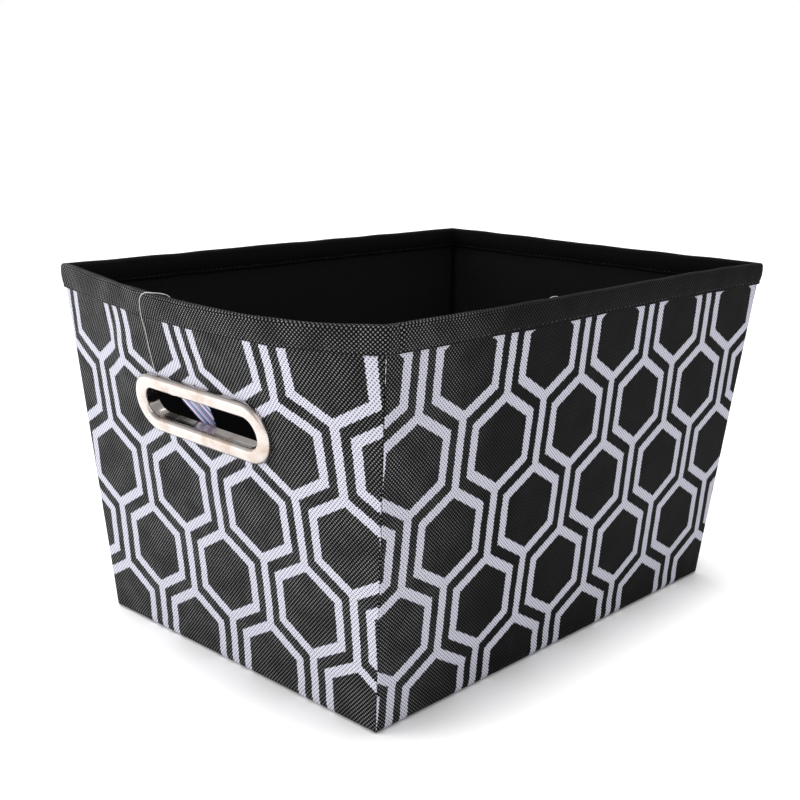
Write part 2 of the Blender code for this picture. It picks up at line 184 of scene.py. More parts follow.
# How bright the lining's painted glint on its points is, next to the cover's, and how pale the print is where
# shade is painted in the embossing's valleys, next to its own white
LINING_GLINT_SHARE = 0.08
PRINT_VALLEY_SHADE = 0.18

# Sewn edges of the cover
EDGE_ROLL = 0.0015
SEAM_GROOVE = 0.0012
SEAM_GAP = 0.0001
FABRIC = 0.0005

# Each wall runs anticlockwise from its first corner to the next, seen from above.
CORNERS = ((-1, -1), (1, -1), (1, 1), (-1, 1))
WALLS = ("front", "right", "back", "left")
SEAMS = ("front_left", "front_right", "back_right", "back_left")
OUTWARD = {"front": (0, -1, 0), "right": (1, 0, 0), "back": (0, 1, 0), "left": (-1, 0, 0)}
HANDLED = ("left", "right")

# The place in the print, along it and up it, that lies at the middle of each wall's rim
PRINT_START = {
    "front": (0.120, 0.028),
    "right": (0.148, 0.030),
    "back": (0.143, 0.014),
    "left": (0.098, 0.026),
}


# Sizes and colours that a user would change

def length_setting(name, description, default):
    return bpy.props.FloatProperty(
        name=name, description=description, default=default, min=0.0, unit="LENGTH",
        precision=5,
    )


def share_setting(name, description, default, top=1.0):
    return bpy.props.FloatProperty(
        name=name, description=description, default=default, min=0.0, max=top,
        subtype="FACTOR",
    )


def colour_setting(name, description, default):
    return bpy.props.FloatVectorProperty(
        name=name, description=description, default=default, size=3, min=0.0, max=1.0,
        subtype="COLOR",
    )


class BinPrintSettings(bpy.types.PropertyGroup):
    """Sizes of the printed honeycomb line pattern."""

    pitch: length_setting("Pitch", "Distance from one hexagon to the next in a row", 0.068)
    row_pitch: length_setting("Row pitch", "Distance from one row down to the next", 0.0468)
    flats: length_setting("Flats", "Width of a hexagon across its upright sides", 0.0510)
    squash: share_setting("Squash", "Height of a hexagon, as a share of a regular one", 1.0)
    stroke: length_setting("Stroke", "Width of the printed lines", 0.0055)


class BinFabricSettings(bpy.types.PropertyGroup):
    """Look of the embossed non-woven fabric and its threads."""

    emboss_pitch: length_setting("Emboss pitch", "Distance between embossed points", 0.0023)
    emboss_depth: length_setting("Emboss depth", "Depth of the embossing", 0.00012)
    wrinkle: length_setting("Wrinkle", "Height of the slow waves in the panels", 0.0005)
    black: colour_setting("Black", "Ground colour of the cover", (0.0030, 0.0030, 0.0034))
    # The points' colour is a painted glint: a highlight, standing in for light off the embossed points, put
    # into the base colour.
    painted_glint: colour_setting("Speck", "Colour of the embossed points", (0.200, 0.200, 0.202))
    white: colour_setting("White", "Colour of the print", (0.50, 0.50, 0.575))
    lining: colour_setting("Lining", "Colour of the lining", (0.0075, 0.0075, 0.0084))
    board: colour_setting("Board", "Colour of the boards", (0.34, 0.30, 0.25))
    thread: colour_setting("Thread", "Colour of the sewing thread", (0.010, 0.010, 0.011))
    stitch: length_setting("Stitch", "Length of a stitch", 0.0032)


class BinMetalSettings(bpy.types.PropertyGroup):
    """Look of the plated handles."""

    colour: colour_setting("Colour", "Colour of the plating", (0.55, 0.51, 0.485))
    roughness: share_setting("Roughness", "Roughness of the plating", 0.15)


class BinTagSettings(bpy.types.PropertyGroup):
    """Look of the striped tag and its thread."""

    pale: colour_setting("Pale", "Pale stripe", (0.60, 0.60, 0.72))
    pink: colour_setting("Pink", "Pink stripe", (0.55, 0.30, 0.38))
    blue: colour_setting("Blue", "Blue stripe", (0.10, 0.16, 0.34))
    navy: colour_setting("Navy", "Navy stripe", (0.012, 0.018, 0.075))
    thread: colour_setting("Thread", "Colour of the nylon thread", (0.62, 0.58, 0.55))


class BinStageSettings(bpy.types.PropertyGroup):
    """Floor, lights and surroundings."""

    floor: colour_setting("Floor", "Colour of the floor", (0.97, 0.97, 0.97))
    surround: bpy.props.FloatProperty(
        name="Surround", description="Brightness of the surroundings at the horizon",
        default=1.0, min=0.0,
    )
    overhead: share_setting("Overhead", "Brightness overhead, as a share of the horizon's", 0.45)
    side_light: bpy.props.FloatProperty(
        name="Side light", description="Power of the soft light on the left", default=11.0,
        min=0.0, unit="POWER",
    )
    front_light: bpy.props.FloatProperty(
        name="Front light", description="Strength of the wide light from the front", default=0.5,
        min=0.0,
    )
    top_light: bpy.props.FloatProperty(
        name="Top light", description="Strength of the wide light overhead", default=3.3,
        min=0.0,
    )


SETTINGS = {
    "bin_print": BinPrintSettings,
    "bin_fabric": BinFabricSettings,
    "bin_metal": BinMetalSettings,
    "bin_tag": BinTagSettings,
    "bin_stage": BinStageSettings,
}


# Shape of the walls, for arrays of places along (0 to 1) and up (0 to 1)

def smoothstep(value):
    value = np.clip(value, 0.0, 1.0)
    return value * value * (3.0 - 2.0 * value)


def bulge(wall, along):
    """How far the rim stands out of the straight line between its corners."""
    if wall == "left":
        climb = np.clip(along / LEFT_BOW_PEAK, 0.0, 1.0)
        fall = np.clip((along - LEFT_BOW_PEAK) / (1.0 - LEFT_BOW_PEAK), 0.0, 1.0)
        rising = np.sin(math.pi / 2 * climb) ** BOW_START
        return LEFT_BOW * np.where(along < LEFT_BOW_PEAK, rising, 1.0 - fall**BOW_END)
    if wall == "front":
        return FRONT_WAVE * np.sin(math.tau * along)
    if wall == "right":
        return -RIGHT_DISH * np.sin(math.pi * along)
    return np.zeros(np.shape(along))


def taper(wall):
    """How far the rim's straight line stands out past the base's edge."""
    rim, base = (RIM_LENGTH, BASE_LENGTH) if wall in HANDLED else (RIM_WIDTH, BASE_WIDTH)
    return rim / 2 - STANDOFF - base / 2


def corner_points(index, rise):
    sign_x, sign_y = CORNERS[index % 4]
    half_x = BASE_LENGTH / 2 + taper("left") * rise
    half_y = BASE_WIDTH / 2 + taper("front") * rise
    return np.stack([sign_x * half_x, sign_y * half_y, 0.0 * rise], -1)


def wall_run(wall, rise):
    index = WALLS.index(wall)
    rise = np.asarray(rise, float)
    across = corner_points(index + 1, rise) - corner_points(index, rise)
    return np.linalg.norm(across, axis=-1)


def plain_surface(wall, along, rise):
    """Points on the cover's outer face."""
    along, rise = np.broadcast_arrays(np.asarray(along, float), np.asarray(rise, float))
    index = WALLS.index(wall)
    reach = bulge(wall, along)
    lean = taper(wall)
    sunk = SINK * np.maximum((lean + reach) ** 2 - lean**2, 0.0) / (2 * HEIGHT)
    start = corner_points(index, rise)
    end = corner_points(index + 1, rise)
    curled = (reach * np.maximum(rise, 0.0) ** CURL)[..., None]
    points = start + (end - start) * along[..., None] + np.array(OUTWARD[wall], float) * curled
    points[..., 2] = rise * (HEIGHT - sunk)
    return points


def handle_span(wall):
    """Middle and half sizes of a handle, as shares of its wall's run and height."""
    rise = 1.0 - GRIP_DROP / HEIGHT
    run = float(wall_run(wall, rise))
    middle = 0.5 + GRIP_SHIFT[wall] / run
    half_along = (GRIP_LENGTH / 2 + BEZEL_BAND) / run
    half_rise = (GRIP_HEIGHT / 2 + BEZEL_BAND) / HEIGHT
    return middle, rise, half_along, half_rise


@functools.lru_cache(maxsize=None)
def handle_axes(wall):
    """Centre of a handle's flat spot, then its axes along the wall, up it and outwards."""
    middle, rise, half_along, half_rise = handle_span(wall)
    sides = np.array([-1.0, 1.0])
    ends = plain_surface(wall, middle + sides * half_along, rise)
    edges = plain_surface(wall, middle, rise + sides * half_rise)
    centre = (ends.sum(0) + edges.sum(0)) / 4
    along = (ends[1] - ends[0]) / np.linalg.norm(ends[1] - ends[0])
    outward = np.cross(along, edges[1] - edges[0])
    outward /= np.linalg.norm(outward)
    return centre, along, np.cross(outward, along), outward


def handle_matrix(wall):
    centre, along, upward, outward = handle_axes(wall)
    rotation = Matrix((along, upward, outward)).transposed().to_4x4()
    return Matrix.Translation(Vector(centre)) @ rotation


def on_handle(wall, points):
    """Points in a handle's own axes."""
    centre, along, upward, outward = handle_axes(wall)
    apart = points - centre
    return apart @ along, apart @ upward, apart @ outward


def past_handle(wall, points):
    """Distance of points from the flat spot that a handle is clamped on."""
    across, up, _ = on_handle(wall, points)
    past_across = np.abs(across) - (GRIP_LENGTH / 2 + BEZEL_BAND + FLAT_MARGIN)
    past_up = np.abs(up) - (GRIP_HEIGHT / 2 + BEZEL_BAND + FLAT_MARGIN)
    return np.hypot(np.maximum(past_across, 0.0), np.maximum(past_up, 0.0))


def surface(wall, along, rise):
    """plain_surface, flattened where a handle is clamped on."""
    points = plain_surface(wall, along, rise)
    if wall not in HANDLED:
        return points
    _, _, height = on_handle(wall, points)
    level = 1.0 - smoothstep(past_handle(wall, points) / FLAT_FADE)
    out = np.array(OUTWARD[wall], float)
    slope = out @ handle_axes(wall)[3]
    return points - (level * height / slope)[..., None] * out


def inward(wall, along, rise):
    step = 0.004
    along = np.asarray(along, float)
    behind = surface(wall, np.maximum(along - step, 0.0), rise)
    ahead = surface(wall, np.minimum(along + step, 1.0), rise)
    run = ahead - behind
    normal = np.stack([-run[..., 1], run[..., 0], np.zeros(run.shape[:-1])], -1)
    return normal / np.linalg.norm(normal, axis=-1, keepdims=True)


def layer_points(wall, along, rise, depth):
    depth = np.asarray(depth, float)
    return surface(wall, along, rise) + inward(wall, along, rise) * depth[..., None]


def slow_waves(seed, across, up, size):
    """Smooth random height from about -1 to 1, in bumps of about this size."""
    draw = np.random.default_rng(seed)
    waves = 7
    height = np.zeros(np.shape(across))
    for _ in range(waves):
        angle, phase = draw.uniform(0.0, math.tau, 2)
        turn = math.tau / (size * draw.uniform(0.7, 1.8))
        run = across * math.cos(angle) + up * math.sin(angle)
        height = height + np.sin(run * turn + phase)
    return height * 1.6 / waves


# Meshes

def mesh_object(name, verts, faces, uvs=None, smooth=True):
    mesh = bpy.data.meshes.new(name)
    mesh.from_pydata(np.asarray(verts).reshape(-1, 3).tolist(), [], np.asarray(faces).tolist())
    loops = np.zeros(len(mesh.loops), np.int64)
    mesh.loops.foreach_get("vertex_index", loops)
    for label, places in (uvs or {}).items():
        layer = mesh.uv_layers.new(name=label)
        layer.data.foreach_set("uv", places.reshape(-1, 2)[loops].astype(np.float32).ravel())
    if smooth:
        mesh.shade_smooth()
    mesh.update()
    item = bpy.data.objects.new(name, mesh)
    bpy.context.scene.collection.objects.link(item)
    return item


def grid_faces(rows, columns, closed_rows=False, closed_columns=False):
    """Faces over a grid of points, counted row by row."""
    row = np.arange(rows if closed_rows else rows - 1)[:, None]
    column = np.arange(columns if closed_columns else columns - 1)[None, :]
    next_row = (row + 1) % rows
    next_column = (column + 1) % columns
    corners = [
        row * columns + column,
        row * columns + next_column,
        next_row * columns + next_column,
        next_row * columns + column,
    ]
    return np.stack([np.broadcast_to(c, (row.size, column.size)) for c in corners], -1).reshape(-1, 4)


def thicken(item, thickness, offset=-1.0):
    solidify = item.modifiers.new("thickness", "SOLIDIFY")
    solidify.thickness = thickness
    solidify.offset = offset


def finish_piece(item, material, body, slot, *nodes):
    """Gives a piece its material, the body it rides on and the nodes it stands for."""
    item.data.materials.append(material)
    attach(item, body)
    if nodes:
        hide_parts(*nodes)
    return item


def run_lengths(points, axis):
    """Distance walked along one axis of a grid of points."""
    steps = np.linalg.norm(np.diff(points, axis=axis), axis=-1)
    walked = np.cumsum(steps, axis=axis)
    start = np.zeros_like(np.take(walked, [0], axis=axis))
    return np.concatenate([start, walked], axis=axis)


def even_steps(length, size):
    return np.linspace(0.0, 1.0, max(int(round(length / size)), 2) + 1)


def seam_profile(arc_steps=4, groove_steps=2):
    """(distance from the corner, depth) of a panel's edge, from deep in its seam outwards."""
    turn = math.pi / 4
    meet = EDGE_ROLL * (1.0 - math.sin(turn))
    groove = [
        (meet + SEAM_GAP + depth, meet + depth)
        for depth in np.linspace(SEAM_GROOVE, 0.0, groove_steps + 1)[:-1]
    ]
    arc = []
    for angle in np.linspace(turn, 0.0, arc_steps + 1):
        ease = SEAM_GAP * angle / turn
        arc.append((EDGE_ROLL * (1.0 - math.sin(angle)) + ease, EDGE_ROLL * (1.0 - math.cos(angle))))
    return np.array(groove + arc)


def hem_profile(arc_steps=5):
    """(height, depth) of a panel's foot, from under the bin outwards."""
    angles = np.linspace(math.pi / 2, 0.0, arc_steps + 1)
    heights = FABRIC + EDGE_ROLL * (1.0 - np.sin(angles))
    return np.stack([heights, EDGE_ROLL * (1.0 - np.cos(angles))], -1)


def panel_grid(wall, cell, top):
    """Places along and up a wall for a cover panel, with the depth of its sewn edges."""
    seam = seam_profile()
    hem = hem_profile()
    run = float(wall_run(wall, 1.0))
    middle = even_steps(run - 2 * EDGE_ROLL, cell)[1:-1]
    heights = even_steps(HEIGHT - top - EDGE_ROLL, cell)[1:]
    low = hem[-1, 0]
    ups = np.concatenate([hem[:, 0], low + (HEIGHT - top - low) * heights]) / HEIGHT
    hem_depth = np.concatenate([hem[:, 1], np.zeros(len(heights))])
    rise = ups[:, None]
    run_here = wall_run(wall, rise)
    edge = seam[None, :, 0] / run_here
    first, last = edge[:, -1:], 1.0 - edge[:, -1:]
    along = np.concatenate([edge, first + (last - first) * middle[None, :], 1.0 - edge[:, ::-1]], 1)
    seam_depth = np.concatenate([seam[:, 1], np.zeros(len(middle)), seam[::-1, 1]])
    depth = np.maximum(hem_depth[:, None], seam_depth[None, :])
    return along, np.broadcast_to(rise, along.shape), depth


def print_places(wall, along, down):
    """Where each point of a panel falls on the printed cloth, in metres: it lies flat on the wall."""
    start_along, start_up = PRINT_START[wall]
    width = wall_run(wall, 1.0 - down / HEIGHT)
    return np.stack([start_along + (along - 0.5) * width, start_up - down], -1)


def oval_distance(across, up, length, height):
    """Signed distance from the edge of an oval with straight long sides."""
    straight = (length - height) / 2
    past = np.maximum(np.abs(across) - straight, 0.0)
    return np.hypot(past, up) - height / 2


def open_slot(wall, points, faces):
    """Leaves out the faces inside a handle's slot and draws the edge that is left to its oval."""
    across, up, _ = on_handle(wall, points)
    length = GRIP_LENGTH + 2 * SLOT_ROOM
    height = GRIP_HEIGHT + 2 * SLOT_ROOM
    distance = oval_distance(across, up, length, height)
    straight = (length - height) / 2
    kept = faces[(distance.ravel()[faces] > 0.0).any(axis=1)]
    spine = np.clip(across, -straight, straight)
    reach = np.maximum(np.hypot(across - spine, up), 1e-9)
    inside = distance < 0.0
    scale = np.where(inside, height / 2 / reach, 1.0)
    _, along_axis, up_axis, _ = handle_axes(wall)
    move_across = spine + (across - spine) * scale - across
    move_up = up * scale - up
    moved = points + move_across[..., None] * along_axis + move_up[..., None] * up_axis
    return moved, kept


def drop_loose(points, faces, layers):
    """Leaves out points that no face uses."""
    used = np.unique(faces)
    index = np.full(points.reshape(-1, 3).shape[0], -1)
    index[used] = np.arange(len(used))
    kept = {label: places.reshape(-1, 2)[used] for label, places in layers.items()}
    return points.reshape(-1, 3)[used], index[faces], kept


# Materials

class Nodes:
    """Adds and links the shader nodes of one material."""

    def __init__(self, name):
        self.material = bpy.data.materials.new(name)
        self.material.use_nodes = True
        self.tree = self.material.node_tree
        self.shader = self.tree.nodes["Principled BSDF"]
        self.count = 0

    def set(self, node, key, value):
        if isinstance(value, bpy.types.NodeSocket):
            self.tree.links.new(value, node.inputs[key])
        else:
            node.inputs[key].default_value = value

    def add(self, kind, inputs=None, **settings):
        node = self.tree.nodes.new(kind)
        node.location = (-260 - 190 * (self.count // 5), 300 - 170 * (self.count % 5))
        self.count += 1
        for key, value in settings.items():
            setattr(node, key, value)
        for key, value in (inputs or {}).items():
            self.set(node, key, value)
        return node

    def math(self, operation, *values, clamp=False):
        inputs = dict(enumerate(values))
        return self.add("ShaderNodeMath", inputs, operation=operation, use_clamp=clamp).outputs[0]

    def mix(self, share, first, second):
        inputs = {0: share, 6: first, 7: second}
        return self.add("ShaderNodeMix", inputs, data_type="RGBA").outputs[2]

    def span(self, value, low, high, start=0.0, end=1.0, kind="SMOOTHSTEP"):
        inputs = {"Value": value, "From Min": low, "From Max": high, "To Min": start, "To Max": end}
        return self.add("ShaderNodeMapRange", inputs, interpolation_type=kind).outputs[0]

    def noise(self, vector, scale, detail=2.0, roughness=0.5):
        inputs = {"Vector": vector, "Scale": scale, "Detail": detail, "Roughness": roughness}
        return self.add("ShaderNodeTexNoise", inputs).outputs[0]

    def places(self, layer):
        return self.add("ShaderNodeUVMap", uv_map=layer).outputs[0]

    def split(self, vector):
        return self.add("ShaderNodeSeparateXYZ", {0: vector}).outputs

    def surface(self, **inputs):
        for key, value in inputs.items():
            self.set(self.shader, key.replace("_", " "), value)

    def bump(self, height, distance, strength=1.0, normal=None):
        inputs = {"Height": height, "Distance": distance, "Strength": strength}
        if normal:
            inputs["Normal"] = normal
        return self.add("ShaderNodeBump", inputs).outputs[0]


def opaque(colour):
    return (*colour, 1.0)


def embossed_points(nodes, cloth, pitch):
    """Height from 0 to 1 of embossed points on a diagonal grid."""
    across, down, _ = nodes.split(cloth)
    turn = math.tau / pitch
    first = nodes.math("COSINE", nodes.math("MULTIPLY", nodes.math("ADD", across, down), turn))
    second = nodes.math(
        "COSINE", nodes.math("MULTIPLY", nodes.math("SUBTRACT", across, down), turn)
    )
    both = nodes.math("ADD", first, second)
    return nodes.math("MULTIPLY_ADD", both, 0.25, 0.5)


def honeycomb_distance(nodes, across, down, offset, settings):
    """Distance from the lines of every second row of the print, negative within them."""
    half_stroke = settings.stroke / 2
    radius = settings.flats / 2
    tip = settings.flats / math.sqrt(3) * settings.squash
    shifted_across = nodes.math("SUBTRACT", across, offset[0])
    shifted_down = nodes.math("SUBTRACT", down, offset[1])
    half_pitch = settings.pitch / 2
    near_across = nodes.math("WRAP", shifted_across, half_pitch, -half_pitch)
    near_down = nodes.math("WRAP", shifted_down, settings.row_pitch, -settings.row_pitch)
    x = nodes.math("ABSOLUTE", near_across)
    y = nodes.math("ABSOLUTE", near_down)
    # A slanted side falls by tip / 2 from the tip to the upright side.
    slant = Vector((tip / 2, radius)).normalized()
    lean_x = nodes.math("MULTIPLY", x, slant.x)
    sloped = nodes.math("MULTIPLY_ADD", y, slant.y, lean_x)
    sloped = nodes.math("SUBTRACT", sloped, tip * slant.y)
    upright = nodes.math("SUBTRACT", x, radius)
    outline = nodes.math("MAXIMUM", sloped, upright)
    ring = nodes.math("ABSOLUTE", nodes.math("ADD", outline, half_stroke))
    ring = nodes.math("SUBTRACT", ring, half_stroke)
    stem = nodes.math("SUBTRACT", x, half_stroke)
    below = nodes.math("SUBTRACT", tip - half_stroke, y)
    stem = nodes.math("MAXIMUM", stem, below)
    return nodes.math("MINIMUM", ring, stem)


def printed_lines(nodes, places, emboss, settings):
    """1 on the print and 0 between its lines, with edges that the embossing breaks up."""
    across, down, _ = nodes.split(places)
    rows = (
        honeycomb_distance(nodes, across, down, (0.0, 0.0), settings),
        honeycomb_distance(
            nodes, across, down, (settings.pitch / 2, settings.row_pitch), settings
        ),
    )
    nearest = nodes.math("MINIMUM", *rows)
    ragged = nodes.math("MULTIPLY_ADD", emboss, -0.0010, 0.0005)
    nearest = nodes.math("ADD", nearest, ragged)
    return nodes.span(nearest, -0.0001, 0.00015, 1.0, 0.0)


def cloth_nodes(name, fabric, ground, painted_glint, printed=None, gloss=0.62, painted_shade_from=None):
    """Embossed non-woven fabric, with the honeycomb print where it is given.

    The embossed points carry a highlight painted into the base colour. Where a distance up the cloth is
    given, past it the points stay dark: painted shade.
    """
    nodes = Nodes(name)
    cloth = nodes.places("cloth")
    emboss = embossed_points(nodes, cloth, fabric.emboss_pitch)
    mottle = nodes.noise(cloth, 55.0, 3.0)
    fibre = nodes.noise(cloth, 2600.0, 2.0, 0.7)
    points = nodes.span(emboss, 0.60, 0.80)
    # Painted highlight: the points' glint is brightest at the left end, which the tag hangs on and the side
    # light faces, and fades towards the right.
    length_place = nodes.split(nodes.add("ShaderNodeTexCoord").outputs["Object"])[0]
    left_side_glint = nodes.span(length_place, -RIM_LENGTH / 2, -RIM_LENGTH / 5, 1.0, 0.10)
    points = nodes.math("MULTIPLY", points, left_side_glint)
    points = nodes.math("MULTIPLY", points, nodes.span(fibre, 0.3, 0.7, 0.45, 1.15))
    points = nodes.math("MULTIPLY", points, nodes.span(mottle, 0.3, 0.7, 0.6, 1.15))
    if painted_shade_from:
        # Painted shade: past that distance, over the rim's crown and down its inside, the glint falls to a
        # twentieth.
        up = nodes.math("MULTIPLY", nodes.split(cloth)[1], -1.0)
        points = nodes.math("MULTIPLY", points, nodes.span(up, painted_shade_from, painted_shade_from + 0.003, 1.0, 0.05))
    # The points are mixed from the black ground to the glint colour: a painted highlight.
    colour = nodes.mix(points, opaque(ground), opaque(painted_glint))
    rough = nodes.span(emboss, 0.45, 0.95, gloss + 0.14, gloss - 0.14)
    if printed:
        # Painted shade: the print is darkened in the embossing's valleys, between the raised points.
        white = nodes.mix(
            nodes.span(emboss, 0.20, 0.45, 1.0, 0.0),
            opaque(fabric.white),
            opaque([channel * PRINT_VALLEY_SHADE for channel in fabric.white]),
        )
        white = nodes.mix(nodes.span(fibre, 0.35, 0.8, 0.0, 0.22), white, opaque((0.40, 0.40, 0.46)))
        lines = printed_lines(nodes, nodes.places("print"), emboss, printed)
        colour = nodes.mix(lines, colour, white)
    height = nodes.math("MULTIPLY_ADD", fibre, 0.22, emboss)
    normal = nodes.bump(height, fabric.emboss_depth)
    nodes.surface(Base_Color=colour, Roughness=rough, Normal=normal)
    nodes.surface(Specular_IOR_Level=0.03, Sheen_Weight=0.0)
    return nodes.material


def printed_fabric():
    scene = bpy.context.scene
    fabric = scene.bin_fabric
    return cloth_nodes("printed_fabric", fabric, fabric.black, fabric.painted_glint, scene.bin_print)


def black_fabric():
    fabric = bpy.context.scene.bin_fabric
    return cloth_nodes("black_fabric", fabric, fabric.black, fabric.painted_glint)


def binding_fabric():
    """The same black cloth, whose points carry the painted glint only on the outside of the rim, with painted
    shade taking it away on the inside.
    """
    fabric = bpy.context.scene.bin_fabric
    return cloth_nodes("binding_fabric", fabric, fabric.black, fabric.painted_glint,
                       painted_shade_from=BINDING_DROP + 0.0005)


def lining_fabric():
    fabric = bpy.context.scene.bin_fabric
    # The lining's points get a dimmer painted glint, as the inside lies in shade.
    dim = [channel * LINING_GLINT_SHARE for channel in fabric.painted_glint]
    return cloth_nodes("lining_fabric", fabric, fabric.lining, dim, gloss=0.75)


def greyboard():
    nodes = Nodes("greyboard")
    place = nodes.add("ShaderNodeTexCoord").outputs["Object"]
    pulp = nodes.noise(place, 420.0, 6.0, 0.7)
    cloud = nodes.noise(place, 38.0, 3.0)
    base = bpy.context.scene.bin_fabric.board
    dark = opaque([channel * 0.6 for channel in base])
    colour = nodes.mix(nodes.span(pulp, 0.35, 0.65), dark, opaque(base))
    colour = nodes.mix(nodes.span(cloud, 0.4, 0.7, 0.0, 0.35), colour, opaque((0.42, 0.40, 0.37)))
    normal = nodes.bump(pulp, 0.0003)
    nodes.surface(Base_Color=colour, Roughness=0.9, Normal=normal)
    return nodes.material


def sewing_thread(name, colour):
    """Twisted spun thread."""
    nodes = Nodes(name)
    place = nodes.add("ShaderNodeTexCoord").outputs["Object"]
    wave = nodes.add(
        "ShaderNodeTexWave",
        {"Vector": place, "Scale": 900.0, "Distortion": 1.5, "Detail": 1.0},
        bands_direction="DIAGONAL",
    ).outputs["Fac"]
    dark = opaque([channel * 0.45 for channel in colour])
    nodes.surface(
        Base_Color=nodes.mix(wave, dark, opaque(colour)),
        Roughness=nodes.span(wave, 0.0, 1.0, 0.7, 0.45),
        Normal=nodes.bump(wave, 0.00008),
    )
    return nodes.material


def nickel_plate():
    """Polished plating with faint smears, pits and a warmer tone in patches where the smears are strongest.
    """
    metal = bpy.context.scene.bin_metal
    nodes = Nodes("nickel")
    place = nodes.add("ShaderNodeTexCoord").outputs["Object"]
    smear = nodes.noise(place, 60.0, 5.0, 0.6)
    pits = nodes.noise(place, 900.0, 3.0, 0.6)
    warm = opaque([metal.colour[0] * 0.80, metal.colour[1] * 0.66, metal.colour[2] * 0.56])
    colour = nodes.mix(nodes.span(smear, 0.46, 0.72, 0.0, 0.9), opaque(metal.colour), warm)
    rough = nodes.span(smear, 0.3, 0.75, metal.roughness - 0.05, metal.roughness + 0.12)
    rough = nodes.math("ADD", rough, nodes.span(pits, 0.62, 0.72, 0.0, 0.12))
    height = nodes.math("MULTIPLY_ADD", pits, 0.25, smear)
    nodes.surface(Base_Color=colour, Roughness=rough, Metallic=1.0)
    nodes.surface(Normal=nodes.bump(height, 0.00012))
    return nodes.material


def nylon():
    nodes = Nodes("nylon")
    place = nodes.add("ShaderNodeTexCoord").outputs["Object"]
    streak = nodes.noise(place, 700.0, 2.0)
    colour = bpy.context.scene.bin_tag.thread
    dark = opaque([channel * 0.6 for channel in colour])
    nodes.surface(
        Base_Color=nodes.mix(streak, dark, opaque(colour)),
        Roughness=nodes.span(streak, 0.3, 0.7, 0.2, 0.4),
        Transmission_Weight=0.25,
    )
    return nodes.material


def striped_card():
    """Glossy card printed with plain stripes along its length."""
    tag = bpy.context.scene.bin_tag
    nodes = Nodes("tag_card")
    _, over, _ = nodes.split(nodes.places("stripes"))
    ramp = nodes.add("ShaderNodeValToRGB", {"Fac": nodes.math("FRACT", nodes.math("MULTIPLY", over, 2.0))})
    stripes = (
        (0.0, tag.navy), (0.12, tag.pale), (0.18, tag.pink), (0.26, tag.blue), (0.42, tag.navy),
        (0.54, tag.pale), (0.60, tag.blue), (0.72, tag.pink), (0.78, tag.navy), (0.90, tag.blue),
    )
    band = ramp.color_ramp
    band.interpolation = "CONSTANT"
    while len(band.elements) < len(stripes):
        band.elements.new(1.0)
    for element, (place, colour) in zip(band.elements, stripes):
        element.position = place
        element.color = opaque(colour)
    grain = nodes.noise(nodes.places("stripes"), 60.0, 3.0)
    colour = nodes.mix(nodes.span(grain, 0.4, 0.8, 0.0, 0.12), ramp.outputs[0], opaque((0.9, 0.9, 0.95)))
    nodes.surface(Base_Color=colour, Roughness=nodes.span(grain, 0.3, 0.7, 0.22, 0.34))
    nodes.surface(Coat_Weight=0.4, Coat_Roughness=0.1)
    return nodes.material


def floor_paint():
    nodes = Nodes("pale_floor")
    place = nodes.add("ShaderNodeTexCoord").outputs["Object"]
    cloud = nodes.noise(place, 3.0, 2.0)
    base = bpy.context.scene.bin_stage.floor
    dim = opaque([channel * 0.985 for channel in base])
    nodes.surface(Base_Color=nodes.mix(cloud, dim, opaque(base)), Roughness=0.55)
    return nodes.material


@functools.lru_cache(maxsize=None)
def finish(name):
    """Each finish is made once and shared by its pieces."""
    fabric = bpy.context.scene.bin_fabric
    makers = {
        "printed_fabric": printed_fabric,
        "black_fabric": black_fabric,
        "binding_fabric": binding_fabric,
        "lining_fabric": lining_fabric,
        "greyboard": greyboard,
        "black_thread": lambda: sewing_thread("black_thread", fabric.thread),
        "pale_thread": lambda: sewing_thread("pale_thread", (0.70, 0.70, 0.74)),
        "nickel": nickel_plate,
        "nylon": nylon,
        "tag_card": striped_card,
        "floor": floor_paint,
    }
    return makers[name]()


# Cover, boards and lining

def make_cover_panel(wall):
    """One printed panel, rolled in at its seams and foot, with slow waves between them."""
    top = 0.0024
    cell = 0.003
    along, rise, edge_depth = panel_grid(wall, cell, top)
    flat = surface(wall, along, rise)
    across = run_lengths(flat, 1)
    down = run_lengths(flat[::-1], 0)[::-1] + top
    seed = WALLS.index(wall) + 11
    waves = slow_waves(seed, across, down, 0.07) + 0.45 * slow_waves(seed + 20, across, down, 0.022)
    edge = np.minimum(np.minimum(along, 1.0 - along) * wall_run(wall, rise), rise * HEIGHT)
    calm = smoothstep(edge / 0.02)
    if wall in HANDLED:
        calm = calm * smoothstep(past_handle(wall, flat) / 0.012)
    wrinkle = bpy.context.scene.bin_fabric.wrinkle
    lift = wrinkle * calm * (0.55 + 0.45 * waves)
    # The foot swells a little where the fabric is turned under.
    lift = lift + 0.0006 * np.exp(-((rise * HEIGHT - 0.005) / 0.004) ** 2) * smoothstep(edge / 0.004)
    points = layer_points(wall, along, rise, edge_depth - lift)
    layers = {
        "cloth": np.stack([across, -down], -1),
        "print": print_places(wall, along, down),
    }
    faces = grid_faces(*along.shape)
    if wall in HANDLED:
        points, faces = open_slot(wall, points, faces)
    points, faces, layers = drop_loose(points, faces, layers)
    panel = mesh_object(f"cover_panel_{wall}", points, faces, layers)
    thicken(panel, FABRIC)
    finish_piece(panel, finish("printed_fabric"), "bin", "printed_fabric", f"cover_{wall}")
    return panel


